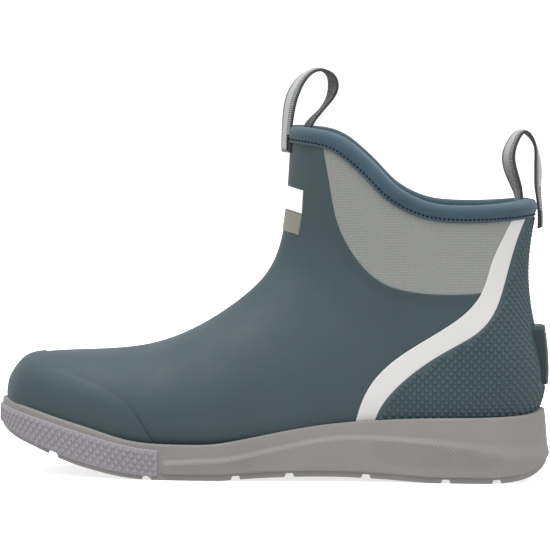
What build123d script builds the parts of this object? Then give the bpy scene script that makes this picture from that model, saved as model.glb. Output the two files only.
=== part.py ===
from build123d import *
import math
import os

# Ankle-height rubber deck boot for the left foot, toe towards -X, medial side towards +Y, sole on z = 0.
# Every layer of the upper is the space between two graded copies of one last-shaped body, so that layers
# that touch share the same surface.  Pattern tables are in the millimetres of the sample size and are graded
# to the driving sizes below.  Thicknesses, widths and clearances are real sizes and are never graded.

# ---- driving sizes ----
boot_length = 280.0
boot_width = 98.6
shaft_height = 178.7

rubber_wall = 2.2
liner_wall = 3.5
overlay_wall = 1.0
stripe_wall = 0.6
label_wall = 0.6
gore_recess = 0.5
stiffener_wall = 1.0
binding_wall = 1.6
binding_width = 8.4
stitch_wall = 0.4
stitch_width = 0.8
stitch_inset = 1.9
stitch_run = 12.0
stitch_gap = 0.8

outsole_wall = 3.0
outsole_inset = 0.8
sidewall_bulge = 1.0
groove_width = 5.0
groove_depth = 1.5
bumper_wall = 3.0
bumper_lip = 1.3
board_inset = 12.0
footbed_cover_wall = 0.8

webbing_width = 12.0
webbing_wall = 1.4
tape_width = 5.0
tape_wall = 0.3
fold_radius = 10.2
fold_clearance = 0.8
loop_turn = 18.0
sewn_length = 9.0
inner_sewn_length = 6.0
tape_start = 11.5
tack_inset = 1.0
tack_height = 1.6
tack_wall = 0.35

kick_plate_width = 26.0
kick_plate_corner = 5.0
label_width = 31.0

# ---- sample size that the pattern tables are drawn in ----
sample_length = 280.0
sample_width = 98.6
sample_height = 178.7
length_grade = boot_length / sample_length
width_grade = boot_width / sample_width
height_grade = shaft_height / sample_height

wall = rubber_wall + liner_wall
far = 400.0 * max(length_grade, width_grade, height_grade)
section_points = 24
nose_stations = 8
loop_reach = 30.0

# Stations of the last: front or top point (x, z), back or bottom point (x, z), half width, centre offset
# towards the medial side, share of the height at which it is widest, squareness below and above that.
stations = [
    ((-136.9, 42.0), (-136.8, 37.0), 3.5, 5.7, 0.50, 2.0, 2.0),
    ((-136.2, 45.8), (-136.0, 33.2), 9.5, 5.5, 0.50, 2.2, 2.2),
    ((-133.6, 51.3), (-133.4, 28.8), 19.5, 5.0, 0.47, 2.6, 2.2),
    ((-128.0, 57.7), (-127.8, 25.2), 26.5, 4.3, 0.44, 2.9, 2.3),
    ((-118.5, 60.7), (-118.2, 21.3), 32.8, 3.5, 0.41, 3.2, 2.3),
    ((-104.0, 61.9), (-103.6, 16.6), 38.8, 2.4, 0.38, 3.4, 2.3),
    ((-86.0, 63.0), (-85.2, 12.8), 43.0, 1.0, 0.36, 3.6, 2.2),
    ((-66.0, 65.8), (-64.0, 10.6), 45.0, -0.7, 0.36, 3.6, 2.1),
    ((-46.0, 73.0), (-37.0, 10.6), 43.4, -2.6, 0.35, 3.6, 2.0),
    ((-27.0, 84.4), (-2.0, 13.6), 38.8, -3.4, 0.34, 3.5, 1.95),
    ((-12.5, 96.3), (38.0, 18.2), 34.6, -2.4, 0.34, 3.3, 1.95),
    ((-4.3, 106.8), (84.0, 20.8), 33.4, -1.0, 0.34, 3.0, 2.0),
    ((0.2, 118.5), (121.5, 24.0), 33.2, 0.0, 0.35, 2.7, 2.0),
    ((2.5, 131.5), (135.3, 46.0), 32.8, 0.0, 0.38, 2.4, 2.0),
    ((3.5, 146.5), (131.0, 74.0), 33.0, 0.0, 0.42, 2.3, 2.05),
    ((4.1, 161.0), (125.9, 104.0), 34.0, 0.0, 0.44, 2.3, 2.1),
    ((4.5, 174.0), (127.2, 126.0), 35.2, 0.0, 0.46, 2.3, 2.2),
    ((4.8, 192.0), (131.6, 152.0), 36.5, 0.0, 0.47, 2.3, 2.2),
    ((5.2, 212.0), (135.0, 182.0), 37.6, 0.0, 0.48, 2.3, 2.2),
]

# Edge of the collar binding, seen from the side.
collar_line = [
    (-40.0, 179.3), (2.0, 178.9), (16.0, 177.8), (26.0, 175.8), (34.0, 171.8), (41.5, 166.0),
    (49.0, 159.2), (57.0, 151.3), (66.0, 145.6), (76.0, 142.0), (88.0, 140.7), (102.0, 140.8),
    (116.0, 141.7), (130.0, 143.0), (160.0, 144.5),
]
# Top edge of the midsole wall, where the rubber upper leaves it.
feather_line = [
    (-160.0, 44.5), (-141.0, 37.8), (-131.0, 35.2), (-115.0, 30.6), (-95.0, 25.2), (-75.0, 19.8),
    (-62.0, 18.4), (-46.0, 18.1), (-31.0, 18.6), (-18.0, 20.8), (0.0, 24.6), (20.0, 28.3),
    (45.0, 31.1), (75.0, 32.8), (105.0, 33.5), (124.0, 34.2), (133.0, 35.2), (141.0, 38.0), (160.0, 46.0),
]
# Sole outline from above: tip, then the lateral side (-Y) back to the heel and the medial side forward again.
sole_outline = [
    (-140.0, 5.5), (-136.0, -12.0), (-127.0, -26.0), (-110.0, -37.6), (-88.0, -45.2), (-62.0, -48.6),
    (-36.0, -47.8), (-10.0, -43.8), (20.0, -39.4), (55.0, -37.6), (90.0, -37.4), (115.0, -33.4),
    (130.5, -21.5), (138.6, 0.0), (130.5, 21.5), (115.0, 32.8), (90.0, 36.2), (55.0, 35.0),
    (20.0, 34.6), (-10.0, 37.0), (-36.0, 42.6), (-62.0, 47.0), (-88.0, 47.6), (-110.0, 43.6),
    (-127.0, 35.0), (-136.0, 22.5),
]
# Underside of the sole, seen from the side: a rise to the toe, a low waist and a bevel at the heel.
toe_rise = [(-150.0, 35.0), (-137.5, 21.5), (-125.0, 15.4), (-110.0, 9.4), (-92.0, 4.2), (-77.0, 1.2), (-64.0, 0.0)]
ball_flat = (-64.0, -28.0)
waist = [(-28.0, 0.0), (-12.0, 1.3), (10.0, 2.3), (32.0, 2.5), (55.0, 1.6), (78.0, 0.0)]
heel_flat = (78.0, 111.0)
heel_bevel = [(111.0, 0.0), (122.0, 1.4), (132.0, 4.6), (138.0, 9.8), (146.0, 24.0)]
# Line on the sole wall below which it bulges.
wave_ridge = [
    (-90.0, 8.2), (-57.4, 9.9), (-38.5, 11.0), (-25.7, 11.9), (-5.4, 16.3), (7.4, 19.1), (20.1, 21.8), (35.4, 23.6),
    (53.3, 23.6), (73.7, 22.4), (96.8, 20.0), (117.3, 17.4), (132.6, 17.0), (160.0, 17.0),
]
groove_stations = (-112.7, -65.0, -20.2, 7.0, 45.8, 86.3, 112.2)

# Top edge of the toe bumper and its rear end.
bumper_top = [(-160.0, 41.0), (-141.0, 34.6), (-124.0, 30.0), (-105.0, 24.8), (-85.0, 19.4), (-69.0, 16.2), (-40.0, 15.0)]
bumper_end = -59.3
bumper_lift = 1.0

# Outlines of the panels of the upper, seen from the side.
gore_front = [
    (19.5, 176.0), (20.8, 167.8), (24.0, 151.0), (29.0, 129.4), (37.8, 113.5), (51.2, 101.0),
    (71.2, 95.8), (94.8, 95.6), (114.0, 97.5),
]
stripe_front = [
    (123.5, 145.0), (118.8, 132.8), (109.4, 111.5), (105.3, 99.5), (96.2, 87.2), (80.6, 76.0), (62.9, 64.0),
    (49.5, 51.3), (42.9, 38.4), (40.0, 24.0),
]
stripe_back = [
    (134.5, 148.0), (127.0, 134.6), (119.5, 114.0), (115.0, 97.5), (109.1, 85.0), (98.6, 75.0), (84.3, 66.5),
    (65.3, 51.6), (54.7, 38.5), (49.5, 24.0),
]
toe_cap_edge = [
    (-123.0, 80.0), (-119.5, 61.5), (-113.5, 57.0), (-99.7, 51.0), (-85.2, 45.0), (-73.3, 35.2),
    (-64.7, 22.8), (-58.0, 10.0),
]
toe_puff_back = -108.0
stiffener_front = 96.0
stiffener_top = 76.0
stiffener_bottom = 40.0
kick_plate_profile = [
    (120.0, 78.6), (136.2, 78.6), (137.4, 75.0), (138.4, 66.0), (138.8, 57.0), (138.5, 51.0), (137.6, 49.0),
    (120.0, 49.0),
]
# Where the middle of the collar meets the skin of the shell.
collar_front, front_top = 4.5, 178.9
collar_back, rear_top = 129.8, 142.6
# Top of the foam footbed on the floor of the bootie.
footbed_line = [(-160.0, 42.0), (-130.0, 36.5), (-110.0, 29.5), (-90.0, 25.0), (-65.0, 22.3), (-38.0, 22.3),
                (-5.0, 25.2), (35.0, 29.2), (80.0, 31.4), (110.0, 33.0), (128.0, 37.0), (160.0, 48.0)]
label_bottom = 124.0
label_split = 134.2
label_top = 146.6

# Path of each pull loop measured from its fold axis: along x and up.  It starts and ends beside the binding.
front_loop_path = [(-5.2, 4.0), (-4.6, 10.0), (-3.0, 17.0), (-0.6, 23.2), (4.0, 29.4), (11.4, 32.8), (18.0, 29.8),
                   (19.4, 23.5), (16.8, 16.6), (11.4, 10.3), (5.3, 4.0)]
rear_loop_path = [(-5.2, 4.0), (-7.4, 12.0), (-10.4, 19.5), (-11.8, 26.0), (-9.8, 33.5), (-4.4, 38.8), (0.8, 35.0),
                  (3.4, 28.0), (4.0, 18.0), (4.5, 10.0), (5.2, 4.0)]


def graded(points):
    return [(x * length_grade, z * height_grade) for x, z in points]


def shifted(points, distance):
    """A line moved sideways by distance, to the left of its own direction."""
    moved = []
    for i, (x, z) in enumerate(points):
        x0, z0 = points[max(i - 1, 0)]
        x1, z1 = points[min(i + 1, len(points) - 1)]
        size = math.hypot(x1 - x0, z1 - z0)
        moved.append((x - distance * (z1 - z0) / size, z + distance * (x1 - x0) / size))
    return moved


def side_edge(points, lift=0.0):
    """A smooth line drawn on the middle plane of the boot."""
    return Edge.make_spline([Vector(x, 0, z + lift) for x, z in points])


def side_prism(edges, y_low=-far, y_high=far):
    """The solid swept across the boot by an outline drawn on its middle plane; gaps are closed by straight lines."""
    closed = []
    for i, item in enumerate(edges):
        following = edges[(i + 1) % len(edges)]
        start = item if isinstance(item, Vector) else item @ 1
        end = following if isinstance(following, Vector) else following @ 0
        if not isinstance(item, Vector):
            closed.append(item)
        if (start - end).length > 1e-6:
            closed.append(Edge.make_line(start, end))
    face = Face(Wire(closed)).moved(Location((0, y_low, 0)))
    return Solid.extrude(face, Vector(0, y_high - y_low, 0))


def corner(x, z):
    """A bare point that an outline passes through on straight lines."""
    return Vector(x, 0, z)


def under(points):
    """Everything under a line that runs from the toe to the heel."""
    first_z, last_z = points[0][1], points[-1][1]
    return side_prism([side_edge(points), corner(far, last_z), corner(far, -far), corner(-far, -far),
                       corner(-far, first_z)])


def behind(points):
    """Everything behind a line that runs from top to bottom."""
    first_x, last_x = points[0][0], points[-1][0]
    return side_prism([side_edge(points), corner(last_x, -far), corner(far, -far), corner(far, far),
                       corner(first_x, far)])


def half_space(medial):
    """The medial or the lateral half of space."""
    return Box(2 * far, far, 2 * far, align=(Align.CENTER, Align.MIN if medial else Align.MAX, Align.CENTER))


def slab(x_low, x_high, z_low, z_high, half_y=far):
    size = (x_high - x_low, 2 * half_y, z_high - z_low)
    return Pos((x_low + x_high) / 2, 0, (z_low + z_high) / 2) * Box(*size)


# ---- the last and its layers ----
def nose_share(i):
    """How far the skin at a station faces the toe: its share along x and its share inside the section."""
    before, after = stations[max(i - 1, 0)], stations[i + 1]
    run = after[0][0] - before[0][0]
    rise = after[2] - before[2]
    if rise <= 0 or run / rise > 12:
        return 0.0, 1.0
    return rise / math.hypot(run, rise), run / math.hypot(run, rise)


def section_wire(i, offset):
    """One closed section of the last, grown by offset: a superellipse, squarer below its widest line than above."""
    (fx, fz), (bx, bz), half, centre, widest, square_low, square_high = stations[i]
    along_toe, in_plane = nose_share(i) if i < nose_stations else (0.0, 1.0)
    front = Vector(fx * length_grade, 0, fz * height_grade)
    back = Vector(bx * length_grade, 0, bz * height_grade)
    up = (front - back).normalized()
    height = (front - back).length
    middle = back + up * (height * widest) + Vector(-offset * along_toe, centre * width_grade, 0)
    half_width = half * width_grade
    points = []
    for k in range(section_points):
        angle = math.pi + 2 * math.pi * k / section_points
        along, across = math.cos(angle), math.sin(angle)
        reach = height * (1 - widest) if along > 0 else height * widest
        square = square_high if along > 0 else square_low
        radius = (abs(along / reach) ** square + abs(across / half_width) ** square) ** (-1 / square)
        normal_up = math.copysign(abs(along * radius / reach) ** (square - 1) / reach, along)
        normal_across = math.copysign(abs(across * radius / half_width) ** (square - 1) / half_width, across)
        grow = offset * in_plane / math.hypot(normal_up, normal_across)
        rise = along * radius + grow * normal_up
        reach_across = across * radius + grow * normal_across
        points.append(middle + up * rise + Vector(0, reach_across, 0))
    even = [k / section_points for k in range(section_points + 1)]
    section = Wire([Edge.make_spline(points, periodic=True, parameters=even)])
    return section.moved(Location((0, 0, offset))) if i == len(stations) - 1 else section


def last_body(offset):
    """The whole last, closed at the toe and above the collar, grown by offset."""
    return Solid.make_loft([section_wire(i, offset) for i in range(len(stations))])


# ---- lines, layers and zones that several pieces share ----
collar = graded(collar_line)
feather = graded(feather_line)
ridge = graded(wave_ridge)
bumper_edge = graded(bumper_top)

rubber_outside = last_body(0)
rubber_inside = last_body(-rubber_wall)
inner_cavity = last_body(-wall)
binding_outside = last_body(binding_wall)

under_shell_top = under(shifted(collar, -binding_wall))
under_binding = under(shifted(collar, -binding_width))
under_feather = under(feather)
behind_stripe_front = behind(graded(stripe_front))
behind_stripe_back = behind(graded(stripe_back))

parts = {}


def skin(thickness, zone, base=0.0):
    """The layer of one thickness that lies on a copy of the last, inside a zone."""
    ground = rubber_outside if base == 0 else last_body(base)
    return (zone & last_body(base + thickness)) - ground


# ---- upper ----
def build_upper():
    """Rubber shell with its cut-outs, the stretch panels set into them and the stiffeners set into its inner face."""
    line = graded(gore_front)
    window = side_prism([side_edge(line), corner(far, line[-1][1]), corner(far, far), corner(line[0][0], far)])
    window = (window - behind_stripe_front) & under_shell_top
    gore = (window & last_body(-gore_recess)) - rubber_inside
    parts["gore_panel_medial"] = gore & half_space(True)
    parts["gore_panel_lateral"] = gore & half_space(False)
    inner_half = last_body(-(rubber_wall - stiffener_wall))
    puff_zone = slab(-far, toe_puff_back * length_grade, -far, far) - under_feather
    parts["toe_puff"] = (puff_zone & inner_half) - rubber_inside
    low, high = stiffener_bottom * height_grade, stiffener_top * height_grade
    parts["heel_stiffener"] = (slab(stiffener_front * length_grade, far, low, high) & inner_half) - rubber_inside
    floor_layer = (rubber_outside & under(shifted(feather, -2.0))) - rubber_inside
    parts["insole_board"] = floor_layer & sole_prism(-board_inset)
    shell = ((rubber_outside & under_shell_top) - rubber_inside) - window
    for name in ("toe_puff", "heel_stiffener", "insole_board"):
        shell = shell - parts[name]
    parts["upper_shell"] = shell
    parts["bootie_liner"] = (rubber_inside & under_shell_top) - inner_cavity


def build_overlays():
    """Toe cap, textured heel cover and the two side stripes, all standing on the shell above the sole."""
    toe_zone = (slab(-far, 0, -far, far) - behind(graded(toe_cap_edge))) - under_feather
    parts["toe_cap"] = skin(overlay_wall, toe_zone)
    heel_zone = (behind_stripe_back & under_binding) - under_feather
    parts["heel_cover"] = skin(overlay_wall, heel_zone)
    stripe_zone = ((behind_stripe_front - behind_stripe_back) & under_binding) - under_feather
    stripe = skin(stripe_wall, stripe_zone)
    parts["side_stripe_medial"] = stripe & half_space(True)
    parts["side_stripe_lateral"] = stripe & half_space(False)


def build_labels():
    """Two-part blank label wrapped round the front of the shaft."""
    heights = [z * height_grade for z in (label_bottom, label_split, label_top)]
    for name, low, high in (("lower", *heights[:2]), ("upper", *heights[1:])):
        parts["front_label_" + name] = skin(label_wall, slab(-far, 60 * length_grade, low, high, label_width / 2))


def build_kick_plate():
    """Thick pad at the back of the heel for pushing the boot off with the other foot."""
    outline = [corner(x, z) for x, z in graded(kick_plate_profile)]
    pad = side_prism(outline, -kick_plate_width / 2, kick_plate_width / 2)
    low, high = outline[-1].Z, outline[0].Z
    face = fillet(Rectangle(kick_plate_width, high - low).vertices(), kick_plate_corner)
    block = Solid.extrude((Plane.YZ * Pos(0, (low + high) / 2) * face).face(), Vector(200 * length_grade, 0, 0))
    parts["heel_kick_plate"] = (pad & block) - last_body(overlay_wall)


# ---- collar ----
def build_collar():
    """Soft binding folded over the top edge, with its line of stitches."""
    roll = ((binding_outside & under(collar)) - under_binding) - last_body(-wall - binding_wall)
    upper_wall = (rubber_outside & under_shell_top) - inner_cavity
    parts["collar_binding"] = roll - upper_wall
    low = under(shifted(collar, -binding_width + stitch_inset))
    high = under(shifted(collar, -binding_width + stitch_inset + stitch_width))
    band = skin(stitch_wall, high - low, binding_wall)
    runs = round((boot_length / 2) / stitch_run)
    for i in range(runs):
        x = collar_front * length_grade + (i + 0.5) * (collar_back - collar_front) * length_grade / runs
        band = band - slab(x - stitch_gap / 2, x + stitch_gap / 2, 0, far)
    parts["collar_stitching"] = band


# ---- sole ----
def sole_prism(grow):
    """The sole outline seen from above, grown by an amount and carried up past the whole sole."""
    points = [(x * length_grade, y * width_grade) for x, y in sole_outline]
    moved = []
    for i, (x, y) in enumerate(points):
        x0, y0 = points[i - 1]
        x1, y1 = points[(i + 1) % len(points)]
        size = math.hypot(x1 - x0, y1 - y0)
        moved.append(Vector(x + grow * (y1 - y0) / size, y - grow * (x1 - x0) / size, -5))
    return Solid.extrude(Face(Wire([Edge.make_spline(moved, periodic=True)])), Vector(0, 0, 90 * height_grade))


def over_ground(lift):
    """Everything over the underside raised by lift: rise, flat ball, waist, flat heel and bevel."""
    rise, low_waist, bevel = graded(toe_rise), graded(waist), graded(heel_bevel)
    ball = Edge.make_line(Vector(rise[-1][0], 0, lift), Vector(low_waist[0][0], 0, lift))
    heel = Edge.make_line(Vector(low_waist[-1][0], 0, lift), Vector(bevel[0][0], 0, lift))
    return side_prism([side_edge(rise, lift), ball, side_edge(low_waist, lift), heel, side_edge(bevel, lift),
                       corner(bevel[-1][0], far), corner(rise[0][0], far)])


def build_sole():
    """Outsole sheet, midsole cup round the upper, and the bumper set into both at the toe."""
    end = bumper_end * length_grade
    toe_zone = (slab(-far, end, -far, far) & over_ground(bumper_lip) & under(bumper_edge)) - sole_prism(
        bumper_lift - bumper_wall)
    parts["toe_bumper"] = (toe_zone & sole_prism(bumper_lift)) - rubber_outside
    tread = (sole_prism(-outsole_inset) & over_ground(0)) - over_ground(outsole_wall)
    for x in groove_stations:
        middle = x * length_grade
        strip = slab(middle - groove_width / 2, middle + groove_width / 2, -far, far)
        tread = tread - (strip - over_ground(groove_depth))
    parts["outsole"] = tread - toe_zone
    wall_body = sole_prism(0) & over_ground(outsole_wall) & under_feather
    bulge = sole_prism(sidewall_bulge) & over_ground(outsole_wall) & under(ridge)
    bulge = bulge & slab(end + 1.0, far, -far, far)
    parts["midsole"] = ((wall_body + bulge) - rubber_outside) - toe_zone


# ---- footbed ----
def build_footbed():
    """Foam footbed and its fabric cover, filling the floor of the bootie."""
    floor_line = graded(footbed_line)
    foam_top = under(floor_line)
    cover_top = under([(x, z + footbed_cover_wall) for x, z in floor_line])
    parts["footbed"] = inner_cavity & foam_top
    parts["footbed_cover"] = (inner_cavity & cover_top) - foam_top


# ---- pull loops ----
def ribbon(path, thickness, width, offset=0.0):
    """A strip of webbing: a line drawn on the middle plane, given a thickness and a width."""
    outer = shifted(path, offset + thickness / 2)
    inner = shifted(path, offset - thickness / 2)
    return side_prism([side_edge(outer), side_edge(inner[::-1])], -width / 2, width / 2)


def rod(x, z, radius):
    """A round space about an axis that runs across the boot."""
    return Pos(x, 0, z) * Rot(90, 0, 0) * Cylinder(radius, 2 * loop_reach)


def build_loop(name, x, z, path, outside):
    """One pull loop: the free part with its tape, the two ends sewn to the binding and the bar tack on the outer."""
    free_space = rod(x, z, fold_radius + fold_clearance)
    turned = Pos(x, 0, z) * Rot(0, 0, loop_turn)
    tape_side = (webbing_wall + tape_wall) / 2
    parts[name + "_pull_loop"] = turned * ribbon(path, webbing_wall, webbing_width) - free_space
    tape_zone = slab(-far, far, z + tape_start, far) - free_space
    parts[name + "_loop_tape"] = (turned * ribbon(path, tape_wall, tape_width, tape_side)) & tape_zone
    above = slab(x - loop_reach, x + loop_reach, z, z + 2 * loop_reach)
    column = slab(x - loop_reach, x + loop_reach, z - sewn_length, z + fold_radius, webbing_width / 2)
    column = column - (above - rod(x, z, fold_radius))
    outer_half = slab(x - loop_reach, x, -far, far) if outside < 0 else slab(x, x + loop_reach, -far, far)
    parts[name + "_loop_outer_end"] = skin(webbing_wall, column & outer_half, binding_wall)
    inner_column = (column - outer_half) & slab(-far, far, z - inner_sewn_length, far)
    inner_zone = inner_column & last_body(-wall - binding_wall)
    parts[name + "_loop_inner_end"] = inner_zone - last_body(-wall - binding_wall - webbing_wall)
    tack_low = z - sewn_length + tack_inset
    tack_zone = slab(x - loop_reach, x + loop_reach, tack_low, tack_low + tack_height,
                     webbing_width / 2 - tack_inset) & outer_half
    parts[name + "_loop_bartack"] = skin(tack_wall, tack_zone, binding_wall + webbing_wall)


def build_loops():
    half_roll = wall / 2 + binding_wall
    build_loop("front", collar_front * length_grade + wall / 2, front_top * height_grade - half_roll,
               front_loop_path, -1)
    build_loop("rear", collar_back * length_grade - wall / 2, rear_top * height_grade - half_roll,
               rear_loop_path, 1)
    stitches = parts["collar_stitching"]
    for name in ("front_loop_outer_end", "rear_loop_outer_end"):
        stitches = stitches - parts[name]
    parts["collar_stitching"] = stitches


def write_parts():
    """Write every node, with the whole boot centred on the origin and standing on z = 0."""
    boxes = [part.bounding_box() for part in parts.values()]
    middle_x = (min(b.min.X for b in boxes) + max(b.max.X for b in boxes)) / 2
    middle_y = (min(b.min.Y for b in boxes) + max(b.max.Y for b in boxes)) / 2
    os.makedirs("parts", exist_ok=True)
    for name, part in parts.items():
        export_step(part.moved(Location((-middle_x, -middle_y, 0))), "parts/" + name + ".step")
    print("moved by", round(-middle_x, 3), round(-middle_y, 3))


build_upper()
build_overlays()
build_labels()
build_kick_plate()
build_collar()
build_sole()
build_footbed()
build_loops()
write_parts()
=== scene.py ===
import math
import bpy
import numpy as np
from mathutils import Matrix, Vector


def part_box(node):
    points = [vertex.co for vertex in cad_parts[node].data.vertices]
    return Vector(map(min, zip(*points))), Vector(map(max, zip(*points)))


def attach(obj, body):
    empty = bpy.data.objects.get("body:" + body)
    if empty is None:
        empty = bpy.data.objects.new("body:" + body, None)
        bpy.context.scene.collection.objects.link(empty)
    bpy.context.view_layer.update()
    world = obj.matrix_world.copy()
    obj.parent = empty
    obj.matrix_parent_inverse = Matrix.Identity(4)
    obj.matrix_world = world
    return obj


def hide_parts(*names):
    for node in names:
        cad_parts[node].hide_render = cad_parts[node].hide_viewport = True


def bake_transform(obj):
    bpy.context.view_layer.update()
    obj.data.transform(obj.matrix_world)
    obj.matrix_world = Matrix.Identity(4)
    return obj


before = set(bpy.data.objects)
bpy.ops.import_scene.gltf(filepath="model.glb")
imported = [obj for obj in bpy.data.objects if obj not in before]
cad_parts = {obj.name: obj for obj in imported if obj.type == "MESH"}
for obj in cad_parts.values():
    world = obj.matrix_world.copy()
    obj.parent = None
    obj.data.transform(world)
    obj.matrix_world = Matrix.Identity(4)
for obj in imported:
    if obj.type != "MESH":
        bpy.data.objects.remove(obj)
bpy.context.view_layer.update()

# An ankle-height deck boot for the left foot: toe towards -X, outer side towards -Y.
# Shapes are worked out in mm in the last's own frame and moved to the row's frame when a mesh is made.
mm = 0.001
pi = math.pi

last = {
    # front or top point (x, z), back or bottom point (x, z), half width, centre offset,
    # height share of the widest line, squareness below and above that line
    "stations": [
        ((-136.9, 42.0), (-136.8, 37.0), 3.5, 5.7, 0.50, 2.0, 2.0),
        ((-136.2, 45.8), (-136.0, 33.2), 9.5, 5.5, 0.50, 2.2, 2.2),
        ((-133.6, 51.3), (-133.4, 28.8), 19.5, 5.0, 0.47, 2.6, 2.2),
        ((-128.0, 57.7), (-127.8, 25.2), 26.5, 4.3, 0.44, 2.9, 2.3),
        ((-118.5, 60.7), (-118.2, 21.3), 32.8, 3.5, 0.41, 3.2, 2.3),
        ((-104.0, 61.9), (-103.6, 16.6), 38.8, 2.4, 0.38, 3.4, 2.3),
        ((-86.0, 63.0), (-85.2, 12.8), 43.0, 1.0, 0.36, 3.6, 2.2),
        ((-66.0, 65.8), (-64.0, 10.6), 45.0, -0.7, 0.36, 3.6, 2.1),
        ((-46.0, 73.0), (-37.0, 10.6), 43.4, -2.6, 0.35, 3.6, 2.0),
        ((-27.0, 84.4), (-2.0, 13.6), 38.8, -3.4, 0.34, 3.5, 1.95),
        ((-12.5, 96.3), (38.0, 18.2), 34.6, -2.4, 0.34, 3.3, 1.95),
        ((-4.3, 106.8), (84.0, 20.8), 33.4, -1.0, 0.34, 3.0, 2.0),
        ((0.2, 118.5), (121.5, 24.0), 33.2, 0.0, 0.35, 2.7, 2.0),
        ((2.5, 131.5), (135.3, 46.0), 32.8, 0.0, 0.38, 2.4, 2.0),
        ((3.5, 146.5), (131.0, 74.0), 33.0, 0.0, 0.42, 2.3, 2.05),
        ((4.1, 161.0), (125.9, 104.0), 34.0, 0.0, 0.44, 2.3, 2.1),
        ((4.5, 174.0), (127.2, 126.0), 35.2, 0.0, 0.46, 2.3, 2.2),
        ((4.8, 192.0), (131.6, 152.0), 36.5, 0.0, 0.47, 2.3, 2.2),
        ((5.2, 212.0), (135.0, 182.0), 37.6, 0.0, 0.48, 2.3, 2.2),
    ],
    "noseStations": 8,   # how many of them turn their skin towards the toe
    "shellWall": 1.15,
    "linerOut": -2.3,
    "linerIn": -5.7,
}

# the last's frame sits this far from the row's frame
shellLow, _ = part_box("upper_shell")
plateLow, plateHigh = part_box("heel_kick_plate")
shift = np.array([shellLow.x - last["stations"][0][0][0] * mm, (plateLow.y + plateHigh.y) / 2, 0.0])


# curves and surfaces
def splineThrough(knots, values):
    # cubic pieces that share slope and curvature at every knot and end without curvature
    knots = np.asarray(knots, float)
    values = np.asarray(values, float)
    flat = values.ndim == 1
    values = values[:, None] if flat else values
    step = np.diff(knots)
    slope = np.diff(values, axis=0) / step[:, None]
    system = np.eye(len(knots))
    inner = np.arange(1, len(knots) - 1)
    system[inner, inner - 1] = step[:-1]
    system[inner, inner] = 2 * (step[:-1] + step[1:])
    system[inner, inner + 1] = step[1:]
    right = np.zeros_like(values)
    right[1:-1] = 6 * np.diff(slope, axis=0)
    bend = np.linalg.solve(system, right)

    def at(place):
        place = np.asarray(place, float)
        i = np.clip(np.searchsorted(knots, place) - 1, 0, len(knots) - 2)
        h = step[i][..., None]
        a = (knots[i + 1] - place)[..., None] / h
        b = 1 - a
        value = a * values[i] + b * values[i + 1] + ((a**3 - a) * bend[i] + (b**3 - b) * bend[i + 1]) * h * h / 6
        return value[..., 0] if flat else value
    return at


def heightLine(points):
    # height as a smooth function of x
    x, z = np.array(points, float).T
    return splineThrough(x, z)


def depthLine(points):
    # x as a smooth function of height, for lines that run up the boot
    x, z = np.array(sorted(points, key=lambda p: p[1]), float).T
    return splineThrough(z, x)


def movedSideways(points, distance):
    # a line moved to the left of its own direction
    p = np.array(points, float)
    t = np.gradient(p, axis=0)
    t /= np.linalg.norm(t, axis=1)[:, None]
    return p + distance * np.stack([-t[:, 1], t[:, 0]], -1)


def smoothPath(points, count, closed=False):
    # a spline through points by chord length, cut into even steps
    p = np.array(points, float)
    if closed:
        p = np.concatenate([p[-3:], p, p[:3]])
    chord = np.r_[0, np.cumsum(np.linalg.norm(np.diff(p, axis=0), axis=1))]
    curve = splineThrough(chord, p)
    first, final = (chord[3], chord[-3]) if closed else (0, chord[-1])
    fine = curve(np.linspace(first, final, 4001))
    length = np.r_[0, np.cumsum(np.linalg.norm(np.diff(fine, axis=0), axis=1))]
    even = np.linspace(0, length[-1], count)
    return np.stack([np.interp(even, length, fine[:, k]) for k in range(p.shape[1])], -1), even


def smoothStep(low, high, value):
    t = np.clip((value - low) / (high - low), 0, 1)
    return t * t * (3 - 2 * t)


table = np.array([[*front, *back, *rest] for front, back, *rest in last["stations"]])
run = np.r_[table[1, 0] - table[0, 0], table[2:, 0] - table[:-2, 0], 1]
rise = np.r_[table[1, 4] - table[0, 4], table[2:, 4] - table[:-2, 4], 0]
towardsToe = (np.arange(len(table)) < last["noseStations"]) & (rise > 0) & (run < 12 * rise)
slant = np.where(towardsToe, rise / np.hypot(run, rise), 0)
inPlane = np.where(towardsToe, run / np.hypot(run, rise), 1)
stationAt = np.r_[0, np.cumsum(np.sqrt((np.diff(table[:, :5], axis=0) ** 2).mean(axis=1)))]
stationValues = splineThrough(stationAt, np.column_stack([table, slant, inPlane]))


def atStation(index):
    return np.interp(index, np.arange(len(stationAt)), stationAt)


def section(s, grow):
    # the section at s: its middle, its upward direction, its height and the columns of the table
    v = stationValues(s)
    front, back = v[..., 0:2], v[..., 2:4]
    height = np.linalg.norm(front - back, axis=-1)
    up = (front - back) / height[..., None]
    middle = back + up * (height * v[..., 6])[..., None]
    middle = middle - np.stack([grow * v[..., 9], 0 * height], -1)
    return v, up, height, middle


def skin(s, a, grow=0.0):
    # superellipse section at s; angle a runs from the front (0) over the outer side to the back (pi);
    # the point is then moved out by grow along the section's normal
    s, a, grow = np.broadcast_arrays(np.asarray(s, float), np.asarray(a, float), np.asarray(grow, float))
    v, up, height, middle = section(s, grow)
    along, across = np.cos(a), np.sin(a)
    reach = np.where(along > 0, height * (1 - v[..., 6]), height * v[..., 6])
    square = np.where(along > 0, v[..., 8], v[..., 7])
    half = v[..., 4]
    radius = (np.abs(along / reach) ** square + np.abs(across / half) ** square) ** (-1 / square)
    normalUp = np.sign(along) * np.abs(along * radius / reach) ** (square - 1) / reach
    normalOut = np.sign(across) * np.abs(across * radius / half) ** (square - 1) / half
    step = grow * v[..., 10] / np.hypot(normalUp, normalOut)
    rise = along * radius + step * normalUp
    out = across * radius + step * normalOut
    place = middle + up * rise[..., None]
    return np.stack([place[..., 0], v[..., 5] - out, place[..., 1]], -1)


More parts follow.
